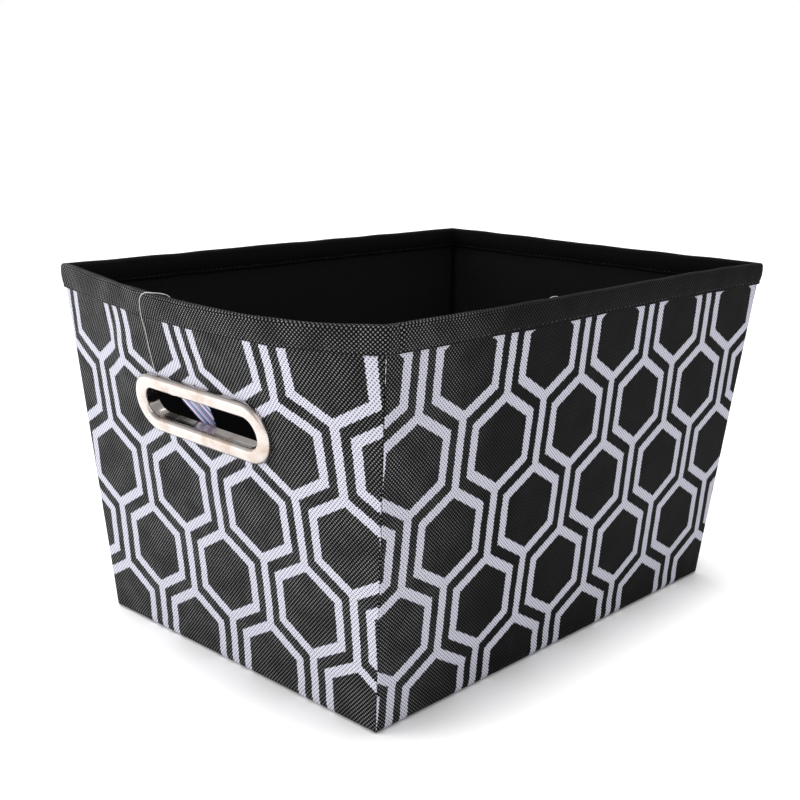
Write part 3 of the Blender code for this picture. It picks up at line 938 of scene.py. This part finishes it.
def make_lining_panel(wall):
    """One lining panel, on the inner side of its board."""
    cell = 0.005
    top = 0.0024
    run = float(wall_run(wall, 1.0))
    rise = ((FLOOR + (HEIGHT - top - FLOOR) * even_steps(HEIGHT, cell)) / HEIGHT)[:, None]
    trim = (STACK + SEAM_GAP) / wall_run(wall, rise)
    along = trim + (1.0 - 2 * trim) * even_steps(run, cell)[None, :]
    rise = np.broadcast_to(rise, along.shape)
    flat = surface(wall, along, rise)
    across = run_lengths(flat, 1)
    down = run_lengths(flat[::-1], 0)[::-1]
    waves = slow_waves(WALLS.index(wall) + 51, across, down, 0.05)
    calm = smoothstep(np.minimum(along, 1.0 - along) * run / 0.03) * smoothstep((1.0 - rise) * 8)
    if wall in HANDLED:
        calm = calm * smoothstep(past_handle(wall, flat) / 0.012)
    depth = STACK + 0.0006 * calm * (0.5 + 0.5 * waves)
    points = layer_points(wall, along, rise, depth)
    faces = grid_faces(*along.shape)
    if wall in HANDLED:
        points, faces = open_slot(wall, points, faces)
    layers = {"cloth": np.stack([across, -down], -1)}
    points, faces, layers = drop_loose(points, faces[:, ::-1], layers)
    panel = mesh_object(f"lining_panel_{wall}", points, faces, layers)
    thicken(panel, LINING * 0.9)
    finish_piece(panel, finish("lining_fabric"), "bin", "lining_fabric", f"lining_{wall}")
    return panel


def make_plate(name, length, width, low, high, corner, edge, material, body, slot, *nodes):
    """Level plate with rounded corners and rounded upper and lower edges."""
    turns = 6
    quarter = np.linspace(0.0, math.pi / 2, turns + 1)
    outline = []
    for index, (sign_x, sign_y) in enumerate(((1, 1), (-1, 1), (-1, -1), (1, -1))):
        angles = quarter + index * math.pi / 2
        centre = np.array([sign_x * (length / 2 - corner), sign_y * (width / 2 - corner)])
        outline.append(centre + corner * np.stack([np.cos(angles), np.sin(angles)], -1))
    outline = np.concatenate(outline)
    reach = np.linalg.norm(outline, axis=-1, keepdims=True)
    rings = []
    middle = (low + high) / 2
    half = (high - low) / 2
    bend = min(edge, half)
    arcs = np.linspace(-math.pi / 2, math.pi / 2, 9)
    shrink = [0.02, 0.3, 0.6, 0.85, 0.97]
    for share in shrink:
        rings.append((outline * share, low))
    for angle in arcs:
        inset = bend * (1.0 - math.cos(angle))
        lift = (half - bend) * np.sign(angle) + bend * math.sin(angle)
        rings.append((outline * (1.0 - inset / reach), middle + lift))
    for share in reversed(shrink):
        rings.append((outline * share, high))
    waves = slow_waves(77, outline[:, 0] * 3, outline[:, 1] * 3, 0.3)
    points = []
    for flat, height in rings:
        level = np.full((len(outline), 1), height)
        if height > middle:
            level[:, 0] += 0.00015 * waves
        points.append(np.concatenate([flat, level], 1))
    points = np.array(points)
    faces = grid_faces(len(rings), len(outline), closed_columns=True).tolist()
    count = len(outline)
    last = (len(rings) - 1) * count
    faces.append(list(range(count))[::-1])
    faces.append([last + step for step in range(count)])
    mesh = bpy.data.meshes.new(name)
    mesh.from_pydata(points.reshape(-1, 3).tolist(), [], faces)
    layer = mesh.uv_layers.new(name="cloth")
    loops = np.zeros(len(mesh.loops), np.int64)
    mesh.loops.foreach_get("vertex_index", loops)
    flat = points.reshape(-1, 3)[:, :2]
    layer.data.foreach_set("uv", flat[loops].astype(np.float32).ravel())
    mesh.shade_smooth()
    item = bpy.data.objects.new(name, mesh)
    bpy.context.scene.collection.objects.link(item)
    return finish_piece(item, material, body, slot, *nodes)


def make_base_pieces():
    """Cover and lining of the bin's bottom."""
    inset = 2 * (EDGE_ROLL + SEAM_GAP)
    make_plate("base_cover", BASE_LENGTH - inset, BASE_WIDTH - inset, 0.0, COVER, 0.003, COVER / 2,
               finish("black_fabric"), "bin", "black_fabric", "cover_base")
    inset = 2 * LINING_AT
    make_plate("base_lining", BASE_LENGTH - inset, BASE_WIDTH - inset, COVER + GAP,
               COVER + GAP + LINING, 0.003, LINING / 2, finish("lining_fabric"), "bin",
               "lining_fabric", "lining_base")


def make_insert():
    """Base board that lifts out, wrapped in lining fabric."""
    low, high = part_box("insert_cover")
    make_plate("insert_wrap", high.x - low.x, high.y - low.y, low.z, high.z, 0.003, 0.0012,
               finish("lining_fabric"), "base_insert", "lining_fabric", "insert_cover")
    paint_node("insert_board", "greyboard")


def paint_node(node, name):
    """Gives a node that stays in view its finish."""
    item = frame["nodes"][node]
    item.data.materials.clear()
    item.data.materials.append(finish(name))


# Rim

def binding_profile():
    """(depth, drop) round the folded strip, from its outer edge over the rim to its inner one."""
    outside, inside = -STANDOFF, BINDING_INSIDE
    crown = 0.0022
    leg = [
        (outside + 0.00012, BINDING_DROP),
        (outside - 0.00012, BINDING_DROP - 0.0004),
        (outside - 0.0001, STITCH_DROP + 0.0006),
        (outside + 0.0002, STITCH_DROP),
        (outside - 0.0001, STITCH_DROP - 0.0008),
        (outside - 0.0003, 0.0095),
        (outside - 0.0004, 0.0070),
        (outside - 0.0003, 0.0045),
        (outside - 0.0001, crown + 0.0008),
    ]
    middle = (outside + inside) / 2
    half = (inside - outside) / 2
    over = []
    for angle in np.linspace(math.pi, 0.0, 13):
        reach = abs(math.cos(angle)) ** 0.75
        across = middle + half * math.copysign(reach, math.cos(angle))
        over.append((across, crown * (1.0 - math.sin(angle) ** 0.8)))
    inner = [(inside + outside - depth, drop) for depth, drop in reversed(leg)]
    return leg + over + inner


def rim_run(wall):
    """Distances along a wall's rim, with closer ones near its corners, as (from start, share)."""
    near = np.array([0.0009, 0.0022, 0.0050])
    run = float(wall_run(wall, 1.0))
    edge = near[-1] + 0.006
    middle = edge + (run - 2 * edge) * even_steps(run - 2 * edge, 0.004)
    return near, middle / run


def rim_points(depth, drop):
    """Closed run of points round the rim, a depth behind the cover's face and drop under the top."""
    rise = 1.0 - drop / HEIGHT
    points = []
    for index, wall in enumerate(WALLS):
        previous = WALLS[index - 1]
        before = inward(previous, 1.0, rise)
        after = inward(wall, 0.0, rise)
        mitre = (before + after) / (1.0 + before @ after)
        ease = 0.0005 if depth < 0 else 0.0
        points.append((surface(wall, 0.0, rise) + mitre * (depth + ease))[None, :])
        near, middle = rim_run(wall)
        edge = (max(depth, 0.0) + near) / float(wall_run(wall, rise))
        along = np.concatenate([edge, middle, 1.0 - edge[::-1]])
        points.append(layer_points(wall, along, rise, np.full(along.shape, depth)))
    return np.concatenate(points)


def make_binding():
    """Strip of fabric folded over the rim, its edges a little wavy and its crown soft."""
    profile = binding_profile()
    grid = []
    for depth, drop in profile:
        grid.append(rim_points(depth, drop))
    grid = np.array(grid)
    around = run_lengths(grid[len(grid) // 2][None], 1)[0]
    total = around[-1] + np.linalg.norm(grid[len(grid) // 2][0] - grid[len(grid) // 2][-1])
    angle = around / total * math.tau
    wavy = sum(
        math.cos(step) * np.sin(angle * turns + step * 1.7)
        for step, turns in enumerate((5, 9, 14, 23, 31, 44))
    )
    ripple = sum(
        np.sin(angle * turns + step * 2.3) for step, turns in enumerate((37, 61, 83, 118))
    )
    out = -np.array([inward_of_rim(len(around))])[0]
    for index, (depth, drop) in enumerate(profile):
        hang = drop / BINDING_DROP
        grid[index][:, 2] -= 0.00016 * wavy * hang
        side = 1.0 if depth < BINDING_INSIDE / 2 else -1.0
        puff = 0.00007 * ripple * math.sin(math.pi * min(hang, 1.0))
        grid[index] += (side * puff)[:, None] * out
        grid[index][:, 2] += (1.0 - min(hang * 4, 1.0)) * 0.00012 * wavy
    over = run_lengths(grid, 0)
    cloth = np.stack([np.broadcast_to(around, over.shape), -over], -1)
    # The strip's ends meet at a corner, so the last column repeats the first.
    grid = np.concatenate([grid, grid[:, :1]], 1)
    closing = np.stack([np.full(len(grid), total), cloth[:, 0, 1]], -1)[:, None]
    cloth = np.concatenate([cloth, closing], 1)
    faces = grid_faces(grid.shape[0], grid.shape[1])[:, ::-1]
    strip = mesh_object("rim_binding_strip", grid, faces, {"cloth": cloth})
    weld = strip.modifiers.new("weld", "WELD")
    weld.merge_threshold = 0.00001
    thicken(strip, FABRIC)
    finish_piece(strip, finish("binding_fabric"), "bin", "black_fabric", "rim_binding")
    return strip


def inward_of_rim(count):
    """Unit vectors into the bin, for the points that rim_points gives."""
    vectors = []
    for index, wall in enumerate(WALLS):
        before = inward(WALLS[index - 1], 1.0, 1.0)
        after = inward(wall, 0.0, 1.0)
        vectors.append(((before + after) / np.linalg.norm(before + after))[None, :])
        near, middle = rim_run(wall)
        edge = near / float(wall_run(wall, 1.0))
        along = np.concatenate([edge, middle, 1.0 - edge[::-1]])
        vectors.append(inward(wall, along, np.ones(along.shape)))
    return np.concatenate(vectors)[:count]


def make_lap():
    """End of the binding strip, lapped over its start at the near corner."""
    profile = [pair for pair in binding_profile() if pair[0] < BINDING_INSIDE / 2]
    rows = []
    for depth, drop in profile:
        rise = 1.0 - drop / HEIGHT
        depth = depth - 0.00045
        left = np.linspace(1.0 - LAP_REACH / float(wall_run("left", rise)), 1.0, 7)[:-1]
        front = np.linspace(0.0, LAP_REACH * 0.55 / float(wall_run("front", rise)), 5)
        sides = [
            layer_points("left", left, rise, np.full(left.shape, depth)),
            layer_points("front", front, rise, np.full(front.shape, depth)),
        ]
        before, after = inward("left", 1.0, rise), inward("front", 0.0, rise)
        mitre = (before + after) / (1.0 + before @ after)
        sides[1][0] = surface("front", 0.0, rise) + mitre * (depth + 0.0004)
        rows.append(np.concatenate(sides))
    grid = np.array(rows)
    grid[..., 2] += 0.0003 * (np.arange(len(grid)) > 8)[:, None]
    cloth = np.stack([run_lengths(grid, 1), -run_lengths(grid, 0)], -1)
    lap = mesh_object("rim_binding_lap", grid, grid_faces(*grid.shape[:2])[:, ::-1], {"cloth": cloth})
    thicken(lap, 0.0004)
    return finish_piece(lap, finish("binding_fabric"), "bin", "black_fabric")


# Stitching

def stitch_row(name, points, outward, radius, length, gap, material, *nodes):
    """A row of separate stitches along a run of points, each rising out of one hole into the next."""
    walked = run_lengths(points[None], 1)[0]
    count = int(walked[-1] // (length + gap))
    sides, rings = 6, 7
    draw = np.random.default_rng(count)
    shares = np.linspace(0.0, 1.0, rings)
    verts, faces = [], []
    turn = np.linspace(0.0, math.tau, sides, endpoint=False)
    for step in range(count):
        start = step * (length + gap) + gap / 2
        places = start + shares * length * draw.uniform(0.8, 1.0)
        plump = radius * draw.uniform(0.8, 1.3)
        centre = np.stack([np.interp(places, walked, points[:, axis]) for axis in range(3)], -1)
        up = np.stack([np.interp(places, walked, outward[:, axis]) for axis in range(3)], -1)
        up /= np.linalg.norm(up, axis=-1, keepdims=True)
        tangent = centre[-1] - centre[0]
        tangent /= np.linalg.norm(tangent)
        side = np.cross(tangent, up)
        rise = np.sin(np.pi * shares) ** 0.6
        centre = centre + up * (plump * (1.4 * rise - 1.2))[:, None]
        thick = plump * (0.55 + 0.45 * rise)
        ring = (
            np.cos(turn)[None, :, None] * side[:, None, :]
            + np.sin(turn)[None, :, None] * up[:, None, :]
        )
        base = len(verts) * rings * sides
        verts.append(centre[:, None, :] + thick[:, None, None] * ring)
        faces += (grid_faces(rings, sides, closed_columns=True) + base).tolist()
        faces.append([base + side_index for side_index in range(sides)][::-1])
        faces.append([base + (rings - 1) * sides + side_index for side_index in range(sides)])
    mesh = bpy.data.meshes.new(name)
    mesh.from_pydata(np.concatenate(verts).reshape(-1, 3).tolist(), [], faces)
    mesh.shade_smooth()
    item = bpy.data.objects.new(name, mesh)
    bpy.context.scene.collection.objects.link(item)
    return finish_piece(item, material, "bin", "sewing_thread", *nodes)


def make_stitching():
    """Stitches along the binding's lower edge, inside and out, and down each upright seam."""
    length = bpy.context.scene.bin_fabric.stitch
    outer = rim_points(-STANDOFF - 0.0001, STITCH_DROP)
    inner = rim_points(BINDING_INSIDE + 0.0001, STITCH_DROP)
    into = inward_of_rim(len(outer))
    thread = finish("black_thread")
    stitch_row("rim_stitches", outer, -into, RIM_STITCH, length, RIM_STITCH_GAP, thread, "rim_thread")
    stitch_row("rim_stitches_inside", inner, into, INSIDE_STITCH, length, INSIDE_STITCH_GAP, thread)
    for index, seam in enumerate(SEAMS):
        make_seam_stitches(index, seam, length)
    make_loose_end()


def make_loose_end():
    """End of a pale thread, left over the inner edge of the front rim."""
    along = np.linspace(*LOOSE_END, LOOSE_END_POINTS)
    share = np.linspace(0.0, 1.0, LOOSE_END_POINTS)
    top = np.ones(LOOSE_END_POINTS)
    points = surface("front", along, top)
    points += inward("front", along, top) * (BINDING_INSIDE - 0.0006)
    points[:, 2] += 0.0001 + 0.0004 * np.sin(np.pi * share)
    strand = thread_curve("rim_loose_end", points, LOOSE_END_THREAD)
    finish_piece(strand, finish("pale_thread"), "bin", "sewing_thread")


def make_seam_stitches(index, seam, length):
    """Stitches down one upright corner, with a bar tack at the top of the near one."""
    low, high = SEAM_FOOT, HEIGHT - BINDING_DROP - 0.0006
    diagonal = np.array([*CORNERS[index], 0.0]) / math.sqrt(2)
    sink = EDGE_ROLL * (math.sqrt(2) - 1.0)

    def corner_run(start, end, depth):
        heights = np.linspace(start, end, 40) / HEIGHT
        return surface(WALLS[index], 0.0 * heights, heights) - diagonal * depth

    points = corner_run(low, high, sink + 0.0006)
    outward = np.broadcast_to(diagonal, points.shape)
    stitch_row(f"seam_stitches_{seam}", points, outward, SEAM_STITCH, length, SEAM_STITCH_GAP,
               finish("black_thread"), f"seam_thread_{seam}")
    if seam == "front_left":
        points = corner_run(high - TACK_LENGTH, high, sink + 0.0001)
        outward = np.broadcast_to(diagonal, points.shape)
        stitch_row("seam_bar_tack", points, outward, TACK_STITCH, length * 1.3, TACK_STITCH_GAP,
                   finish("pale_thread"))


# Handles

def oval_path(steps=28, straights=10):
    """Unit outward directions round an oval, and where on the spine each starts, from -1 to 1."""
    directions, spine = [], []
    for side, start in ((1, -math.pi / 2), (-1, math.pi / 2)):
        for angle in np.linspace(start, start + math.pi, steps + 1):
            directions.append((math.cos(angle), math.sin(angle)))
            spine.append(side)
        for share in np.linspace(0.0, 1.0, straights + 1)[1:-1]:
            directions.append((0.0, float(side)))
            spine.append(side * (1.0 - 2.0 * share))
    return np.array(directions), np.array(spine)


def oval_piece(name, profile, wall, material, slot, *nodes):
    """Sweeps a closed profile of (out from the slot's edge, up) points round the slot."""
    directions, spine = oval_path()
    radius = GRIP_HEIGHT / 2
    straight = (GRIP_LENGTH - GRIP_HEIGHT) / 2
    rows = []
    for out, up in profile:
        flat = directions * (radius + out)
        flat[:, 0] += spine * straight
        rows.append(np.concatenate([flat, np.full((len(flat), 1), up)], 1))
    grid = np.array(rows)
    faces = grid_faces(*grid.shape[:2], closed_rows=True, closed_columns=True)
    item = mesh_object(name, grid, faces)
    item.data.set_sharp_from_angle(angle=math.radians(50))
    item.matrix_world = handle_matrix(wall)
    return finish_piece(item, material, "bin", slot, *nodes)


def bezel_outline():
    """Half-round face with a thin skirt, a shallow step inside it, the barrel and its rolled lip."""
    foot = GAP
    back = -(STACK + GAP + RING + GAP)
    dome = []
    for angle in np.linspace(0.0, math.pi, 25):
        out = BEZEL_BAND / 2 * (1.0 - math.copysign(abs(math.cos(angle)) ** 0.86, math.cos(angle)))
        dome.append((out, 0.0008 + (BEZEL_RISE - 0.0008) * math.sin(angle) ** 0.8))
    inner = 0.00035
    lip_round = [
        (BARREL + LIP_REACH * 0.7, back),
        (BARREL + LIP_REACH, back - LIP * 0.5),
        (BARREL + LIP_REACH * 0.7, back - LIP),
        (inner + 0.0004, back - LIP),
        (inner, back - LIP * 0.55),
    ]
    return dome + [
        (BEZEL_BAND, foot),
        (BEZEL_BAND - 0.0005, foot),
        (BARREL + 0.0004, foot),
        (BARREL, foot - 0.0004),
        (BARREL, back),
    ] + lip_round + [(inner, back * 0.5), (inner, -0.0002), (inner * 0.6, 0.0003)]


def ring_outline():
    inner = BARREL + GAP
    outer = BEZEL_BAND - RING_MARGIN
    front = -(STACK + GAP)
    dome = []
    for angle in np.linspace(0.0, math.pi, 13):
        share = (1.0 - math.cos(angle)) / 2
        dome.append((inner + (outer - inner) * share, front - 0.0005 - (RING - 0.0005) * math.sin(angle)))
    return [(outer, front), (inner, front)] + dome


def make_handles():
    for wall in HANDLED:
        oval_piece(f"handle_front_{wall}", bezel_outline()[::-1], wall, finish("nickel"), "nickel",
                   f"handle_bezel_{wall}")
        oval_piece(f"handle_back_{wall}", ring_outline()[::-1], wall, finish("nickel"), "nickel",
                   f"handle_ring_{wall}")


# Hang tag

def smooth_route(route, step):
    """Points at even steps along a smooth curve through the route's points."""
    knots = np.array(route)
    knots = np.concatenate([[2 * knots[0] - knots[1]], knots, [2 * knots[-1] - knots[-2]]])
    share = np.linspace(0.0, 1.0, 13)[:-1, None]
    fine = []
    for before, start, end, after in zip(knots, knots[1:], knots[2:], knots[3:]):
        fine.append(
            start * (2 * share**3 - 3 * share**2 + 1)
            + (end - before) / 2 * (share**3 - 2 * share**2 + share)
            + end * (3 * share**2 - 2 * share**3)
            + (after - start) / 2 * (share**3 - share**2)
        )
    fine = np.concatenate([*fine, knots[-2:-1]])
    walked = run_lengths(fine[None], 1)[0]
    places = np.linspace(0.0, walked[-1], round(walked[-1] / step) + 1)
    return np.stack([np.interp(places, walked, fine[:, axis]) for axis in range(3)], -1)


def thread_curve(name, points, diameter):
    curve = bpy.data.curves.new(name, "CURVE")
    curve.dimensions = "3D"
    curve.bevel_depth = diameter / 2
    curve.bevel_resolution = 3
    curve.use_fill_caps = True
    spline = curve.splines.new("POLY")
    spline.points.add(len(points) - 1)
    for place, point in zip(spline.points, points):
        place.co = (*point, 1.0)
    thread = bpy.data.objects.new(name, curve)
    bpy.context.scene.collection.objects.link(thread)
    return thread


def make_tag_thread():
    """Nylon thread from the cover, over the rim, to the tag."""
    points = smooth_route(TAG_THREAD_ROUTE, 0.0015)
    thread = thread_curve("tag_thread_line", points, TAG_THREAD)
    finish_piece(thread, finish("nylon"), "bin", "nylon", "tag_thread")
    length = float(run_lengths(points[None], 1)[0][-1])
    return thread, length


def make_tag():
    """Striped card that hangs behind the left handle, a little curled."""
    def toward(angle, reach):
        return np.array([math.cos(angle), math.sin(angle)]) * reach

    corner = np.array(TAG_CORNER)
    length = toward(TAG_LENGTH_ANGLE, TAG_LENGTH)
    width = toward(TAG_WIDTH_ANGLE, TAG_WIDTH)
    cells_long, cells_wide = 24, 16
    share_long, share_wide = np.meshgrid(
        np.linspace(0.0, 1.0, cells_long + 1), np.linspace(0.0, 1.0, cells_wide + 1), indexing="ij"
    )
    flat = corner + share_long[..., None] * length + share_wide[..., None] * width
    curl = 0.0006 * (share_wide - 0.5) ** 2 * 4 - 0.0003
    points = np.concatenate([flat, curl[..., None]], -1)
    hole = corner + width / 2 + toward(TAG_LENGTH_ANGLE, TAG_LENGTH - TAG_HOLE_INSET)
    apart = points[..., :2] - hole
    reach = np.linalg.norm(apart, axis=-1)
    faces = grid_faces(*points.shape[:2])
    faces = faces[(reach.ravel()[faces] > TAG_HOLE).any(axis=1)]
    push = np.where(reach < TAG_HOLE, TAG_HOLE / np.maximum(reach, 1e-6), 1.0)
    points[..., :2] = hole + apart * push[..., None]
    layers = {"stripes": np.stack([share_long, share_wide], -1)}
    points, faces, layers = drop_loose(points, faces, layers)
    card = mesh_object("striped_tag", points, faces, layers)
    thicken(card, TAG_CARD * 0.9, 0.0)
    offset = Matrix.Translation((0.0, 0.0, -STACK - TAG_BEHIND))
    card.matrix_world = handle_matrix("left") @ offset
    return finish_piece(card, finish("tag_card"), "bin", "tag_card", "hang_tag")


# Stage

def soft_box(name, size, location, target, power, colour=(1.0, 1.0, 1.0)):
    lamp = bpy.data.lights.new(name, "AREA")
    lamp.shape = "RECTANGLE"
    lamp.size, lamp.size_y = size
    lamp.energy = power
    lamp.color = colour
    item = bpy.data.objects.new(name, lamp)
    bpy.context.scene.collection.objects.link(item)
    item.location = location
    item.rotation_euler = (Vector(target) - Vector(location)).to_track_quat("-Z", "Y").to_euler()
    # It fills the walls without a hard reflection in the handles.
    item.visible_glossy = False
    return item


def wide_light(name, toward, spread, strength):
    """Distant light from a direction, as wide as spread in degrees."""
    lamp = bpy.data.lights.new(name, "SUN")
    lamp.energy = strength
    lamp.angle = math.radians(spread)
    item = bpy.data.objects.new(name, lamp)
    bpy.context.scene.collection.objects.link(item)
    item.rotation_euler = Vector(toward).to_track_quat("Z", "Y").to_euler()
    return item


def fade_sky(tree, stage):
    """White at the horizon, dimmer overhead."""
    place = tree.nodes.new("ShaderNodeTexCoord")
    split = tree.nodes.new("ShaderNodeSeparateXYZ")
    fade = tree.nodes.new("ShaderNodeMapRange")
    sky = tree.nodes["Background"]
    tree.links.new(place.outputs["Generated"], split.inputs[0])
    tree.links.new(split.outputs["Z"], fade.inputs["Value"])
    fade.interpolation_type = "SMOOTHSTEP"
    fade.inputs["From Min"].default_value = 0.15
    fade.inputs["From Max"].default_value = 0.60
    fade.inputs["To Min"].default_value = stage.surround
    fade.inputs["To Max"].default_value = stage.surround * stage.overhead
    tree.links.new(fade.outputs["Result"], sky.inputs["Strength"])
    sky.inputs["Color"].default_value = (1.0, 1.0, 1.0, 1.0)


def make_stage():
    """Pale floor, white surroundings and soft lights from the left and above."""
    stage = bpy.context.scene.bin_stage
    half = 6.0
    corners = [(-half, -half, -0.0002), (half, -half, -0.0002), (half, half, -0.0002), (-half, half, -0.0002)]
    floor = mesh_object("floor", corners, [(0, 1, 2, 3)], smooth=False)
    floor.data.materials.append(finish("floor"))
    world = bpy.data.worlds.new("studio")
    bpy.context.scene.world = world
    world.use_nodes = True
    fade_sky(world.node_tree, stage)
    middle = (0.0, 0.0, HEIGHT / 2)
    soft_box("side_light", (0.9, 0.9), (-1.1, 0.75, 0.45), middle, stage.side_light)
    wide_light("front_light", (-0.55, -0.60, 0.58), 50.0, stage.front_light)
    wide_light("top_light", (-0.05, 0.05, 1.0), 25.0, stage.top_light)
    bpy.context.scene.view_settings.view_transform = "Standard"


CAMERA_AZIMUTH = math.radians(-47.054)
CAMERA_ELEVATION = math.radians(13.860)
CAMERA_ROLL = math.radians(1.3065)
CAMERA_DISTANCE = 0.79723
CAMERA_TARGET_HEIGHT = 0.1375
CAMERA_ASIDE = -0.016708
CAMERA_ABOVE = -0.006238
CAMERA_LENS = 54.9


def make_camera():
    back = Vector((
        math.sin(CAMERA_AZIMUTH) * math.cos(CAMERA_ELEVATION),
        -math.cos(CAMERA_AZIMUTH) * math.cos(CAMERA_ELEVATION),
        math.sin(CAMERA_ELEVATION),
    ))
    right = Vector((math.cos(CAMERA_AZIMUTH), math.sin(CAMERA_AZIMUTH), 0.0))
    up = back.cross(right)
    camera = bpy.data.objects.new("camera", bpy.data.cameras.new("camera"))
    bpy.context.scene.collection.objects.link(camera)
    camera.data.lens = CAMERA_LENS
    camera.data.clip_start = 0.01
    turn = Matrix((right, up, back)).transposed() @ Matrix.Rotation(CAMERA_ROLL, 3, "Z")
    place = back * CAMERA_DISTANCE + right * CAMERA_ASIDE + up * CAMERA_ABOVE
    camera.matrix_world = Matrix.Translation(place + Vector((0, 0, CAMERA_TARGET_HEIGHT))) @ turn.to_4x4()
    bpy.context.scene.camera = camera


# Operators

class STORAGEBIN_OT_camera(bpy.types.Operator):
    """Place the camera"""

    bl_idname = "storage_bin.camera"
    bl_label = "Camera"

    def execute(self, context):
        make_camera()
        return {"FINISHED"}


class STORAGEBIN_OT_hang_tag(bpy.types.Operator):
    """Hang the striped tag on its thread over the rim"""

    bl_idname = "storage_bin.hang_tag"
    bl_label = "Hang Tag"

    def execute(self, context):
        thread, length = make_tag_thread()
        card = make_tag()
        return {"FINISHED"}


class STORAGEBIN_OT_cover(bpy.types.Operator):
    """Make the four printed cover panels and paint the boards behind them"""

    bl_idname = "storage_bin.cover"
    bl_label = "Cover"

    def execute(self, context):
        for wall in WALLS:
            make_cover_panel(wall)
            paint_node(f"board_{wall}", "greyboard")
        return {"FINISHED"}


class STORAGEBIN_OT_lining(bpy.types.Operator):
    """Make the four lining panels"""

    bl_idname = "storage_bin.lining"
    bl_label = "Lining"

    def execute(self, context):
        for wall in WALLS:
            make_lining_panel(wall)
        return {"FINISHED"}


class STORAGEBIN_OT_base(bpy.types.Operator):
    """Make the bottom's cover and lining"""

    bl_idname = "storage_bin.base"
    bl_label = "Bottom"

    def execute(self, context):
        make_base_pieces()
        return {"FINISHED"}


class STORAGEBIN_OT_insert(bpy.types.Operator):
    """Make the base board that lifts out"""

    bl_idname = "storage_bin.insert"
    bl_label = "Base Board"

    def execute(self, context):
        make_insert()
        return {"FINISHED"}


class STORAGEBIN_OT_binding(bpy.types.Operator):
    """Fold the binding over the rim and lap its end"""

    bl_idname = "storage_bin.binding"
    bl_label = "Rim Binding"

    def execute(self, context):
        make_binding()
        make_lap()
        return {"FINISHED"}


class STORAGEBIN_OT_stitching(bpy.types.Operator):
    """Sew the rim and the upright seams"""

    bl_idname = "storage_bin.stitching"
    bl_label = "Stitching"

    def execute(self, context):
        make_stitching()
        return {"FINISHED"}


class STORAGEBIN_OT_handles(bpy.types.Operator):
    """Clamp a grommet handle into each short wall"""

    bl_idname = "storage_bin.handles"
    bl_label = "Handles"

    def execute(self, context):
        make_handles()
        return {"FINISHED"}


class STORAGEBIN_OT_stage(bpy.types.Operator):
    """Set the floor, the surroundings and the lights"""

    bl_idname = "storage_bin.stage"
    bl_label = "Stage"

    def execute(self, context):
        make_stage()
        return {"FINISHED"}


OPERATORS = (
    STORAGEBIN_OT_camera,
    STORAGEBIN_OT_hang_tag,
    STORAGEBIN_OT_cover,
    STORAGEBIN_OT_lining,
    STORAGEBIN_OT_base,
    STORAGEBIN_OT_insert,
    STORAGEBIN_OT_binding,
    STORAGEBIN_OT_stitching,
    STORAGEBIN_OT_handles,
    STORAGEBIN_OT_stage,
)


class STORAGEBIN_PT_panel(bpy.types.Panel):
    """Settings of the storage bin and a button for each of its pieces"""

    bl_label = "Storage Bin"
    bl_idname = "STORAGEBIN_PT_panel"
    bl_space_type = "VIEW_3D"
    bl_region_type = "UI"
    bl_category = "Storage Bin"

    def draw(self, context):
        for label in SETTINGS:
            group = getattr(context.scene, label)
            box = self.layout.box()
            box.label(text=label.replace("bin_", "").title())
            for key in group.__annotations__:
                box.prop(group, key)
        for operator in OPERATORS:
            self.layout.operator(operator.bl_idname)


def register():
    for kind in (*SETTINGS.values(), *OPERATORS, STORAGEBIN_PT_panel):
        bpy.utils.register_class(kind)
    for label, kind in SETTINGS.items():
        setattr(bpy.types.Scene, label, bpy.props.PointerProperty(type=kind))


def unregister():
    for label in SETTINGS:
        delattr(bpy.types.Scene, label)
    for kind in reversed((*SETTINGS.values(), *OPERATORS, STORAGEBIN_PT_panel)):
        bpy.utils.unregister_class(kind)


def main():
    register()
    for operator in OPERATORS:
        group, name = operator.bl_idname.split(".")
        getattr(getattr(bpy.ops, group), name)()


if __name__ == "__main__":
    main()
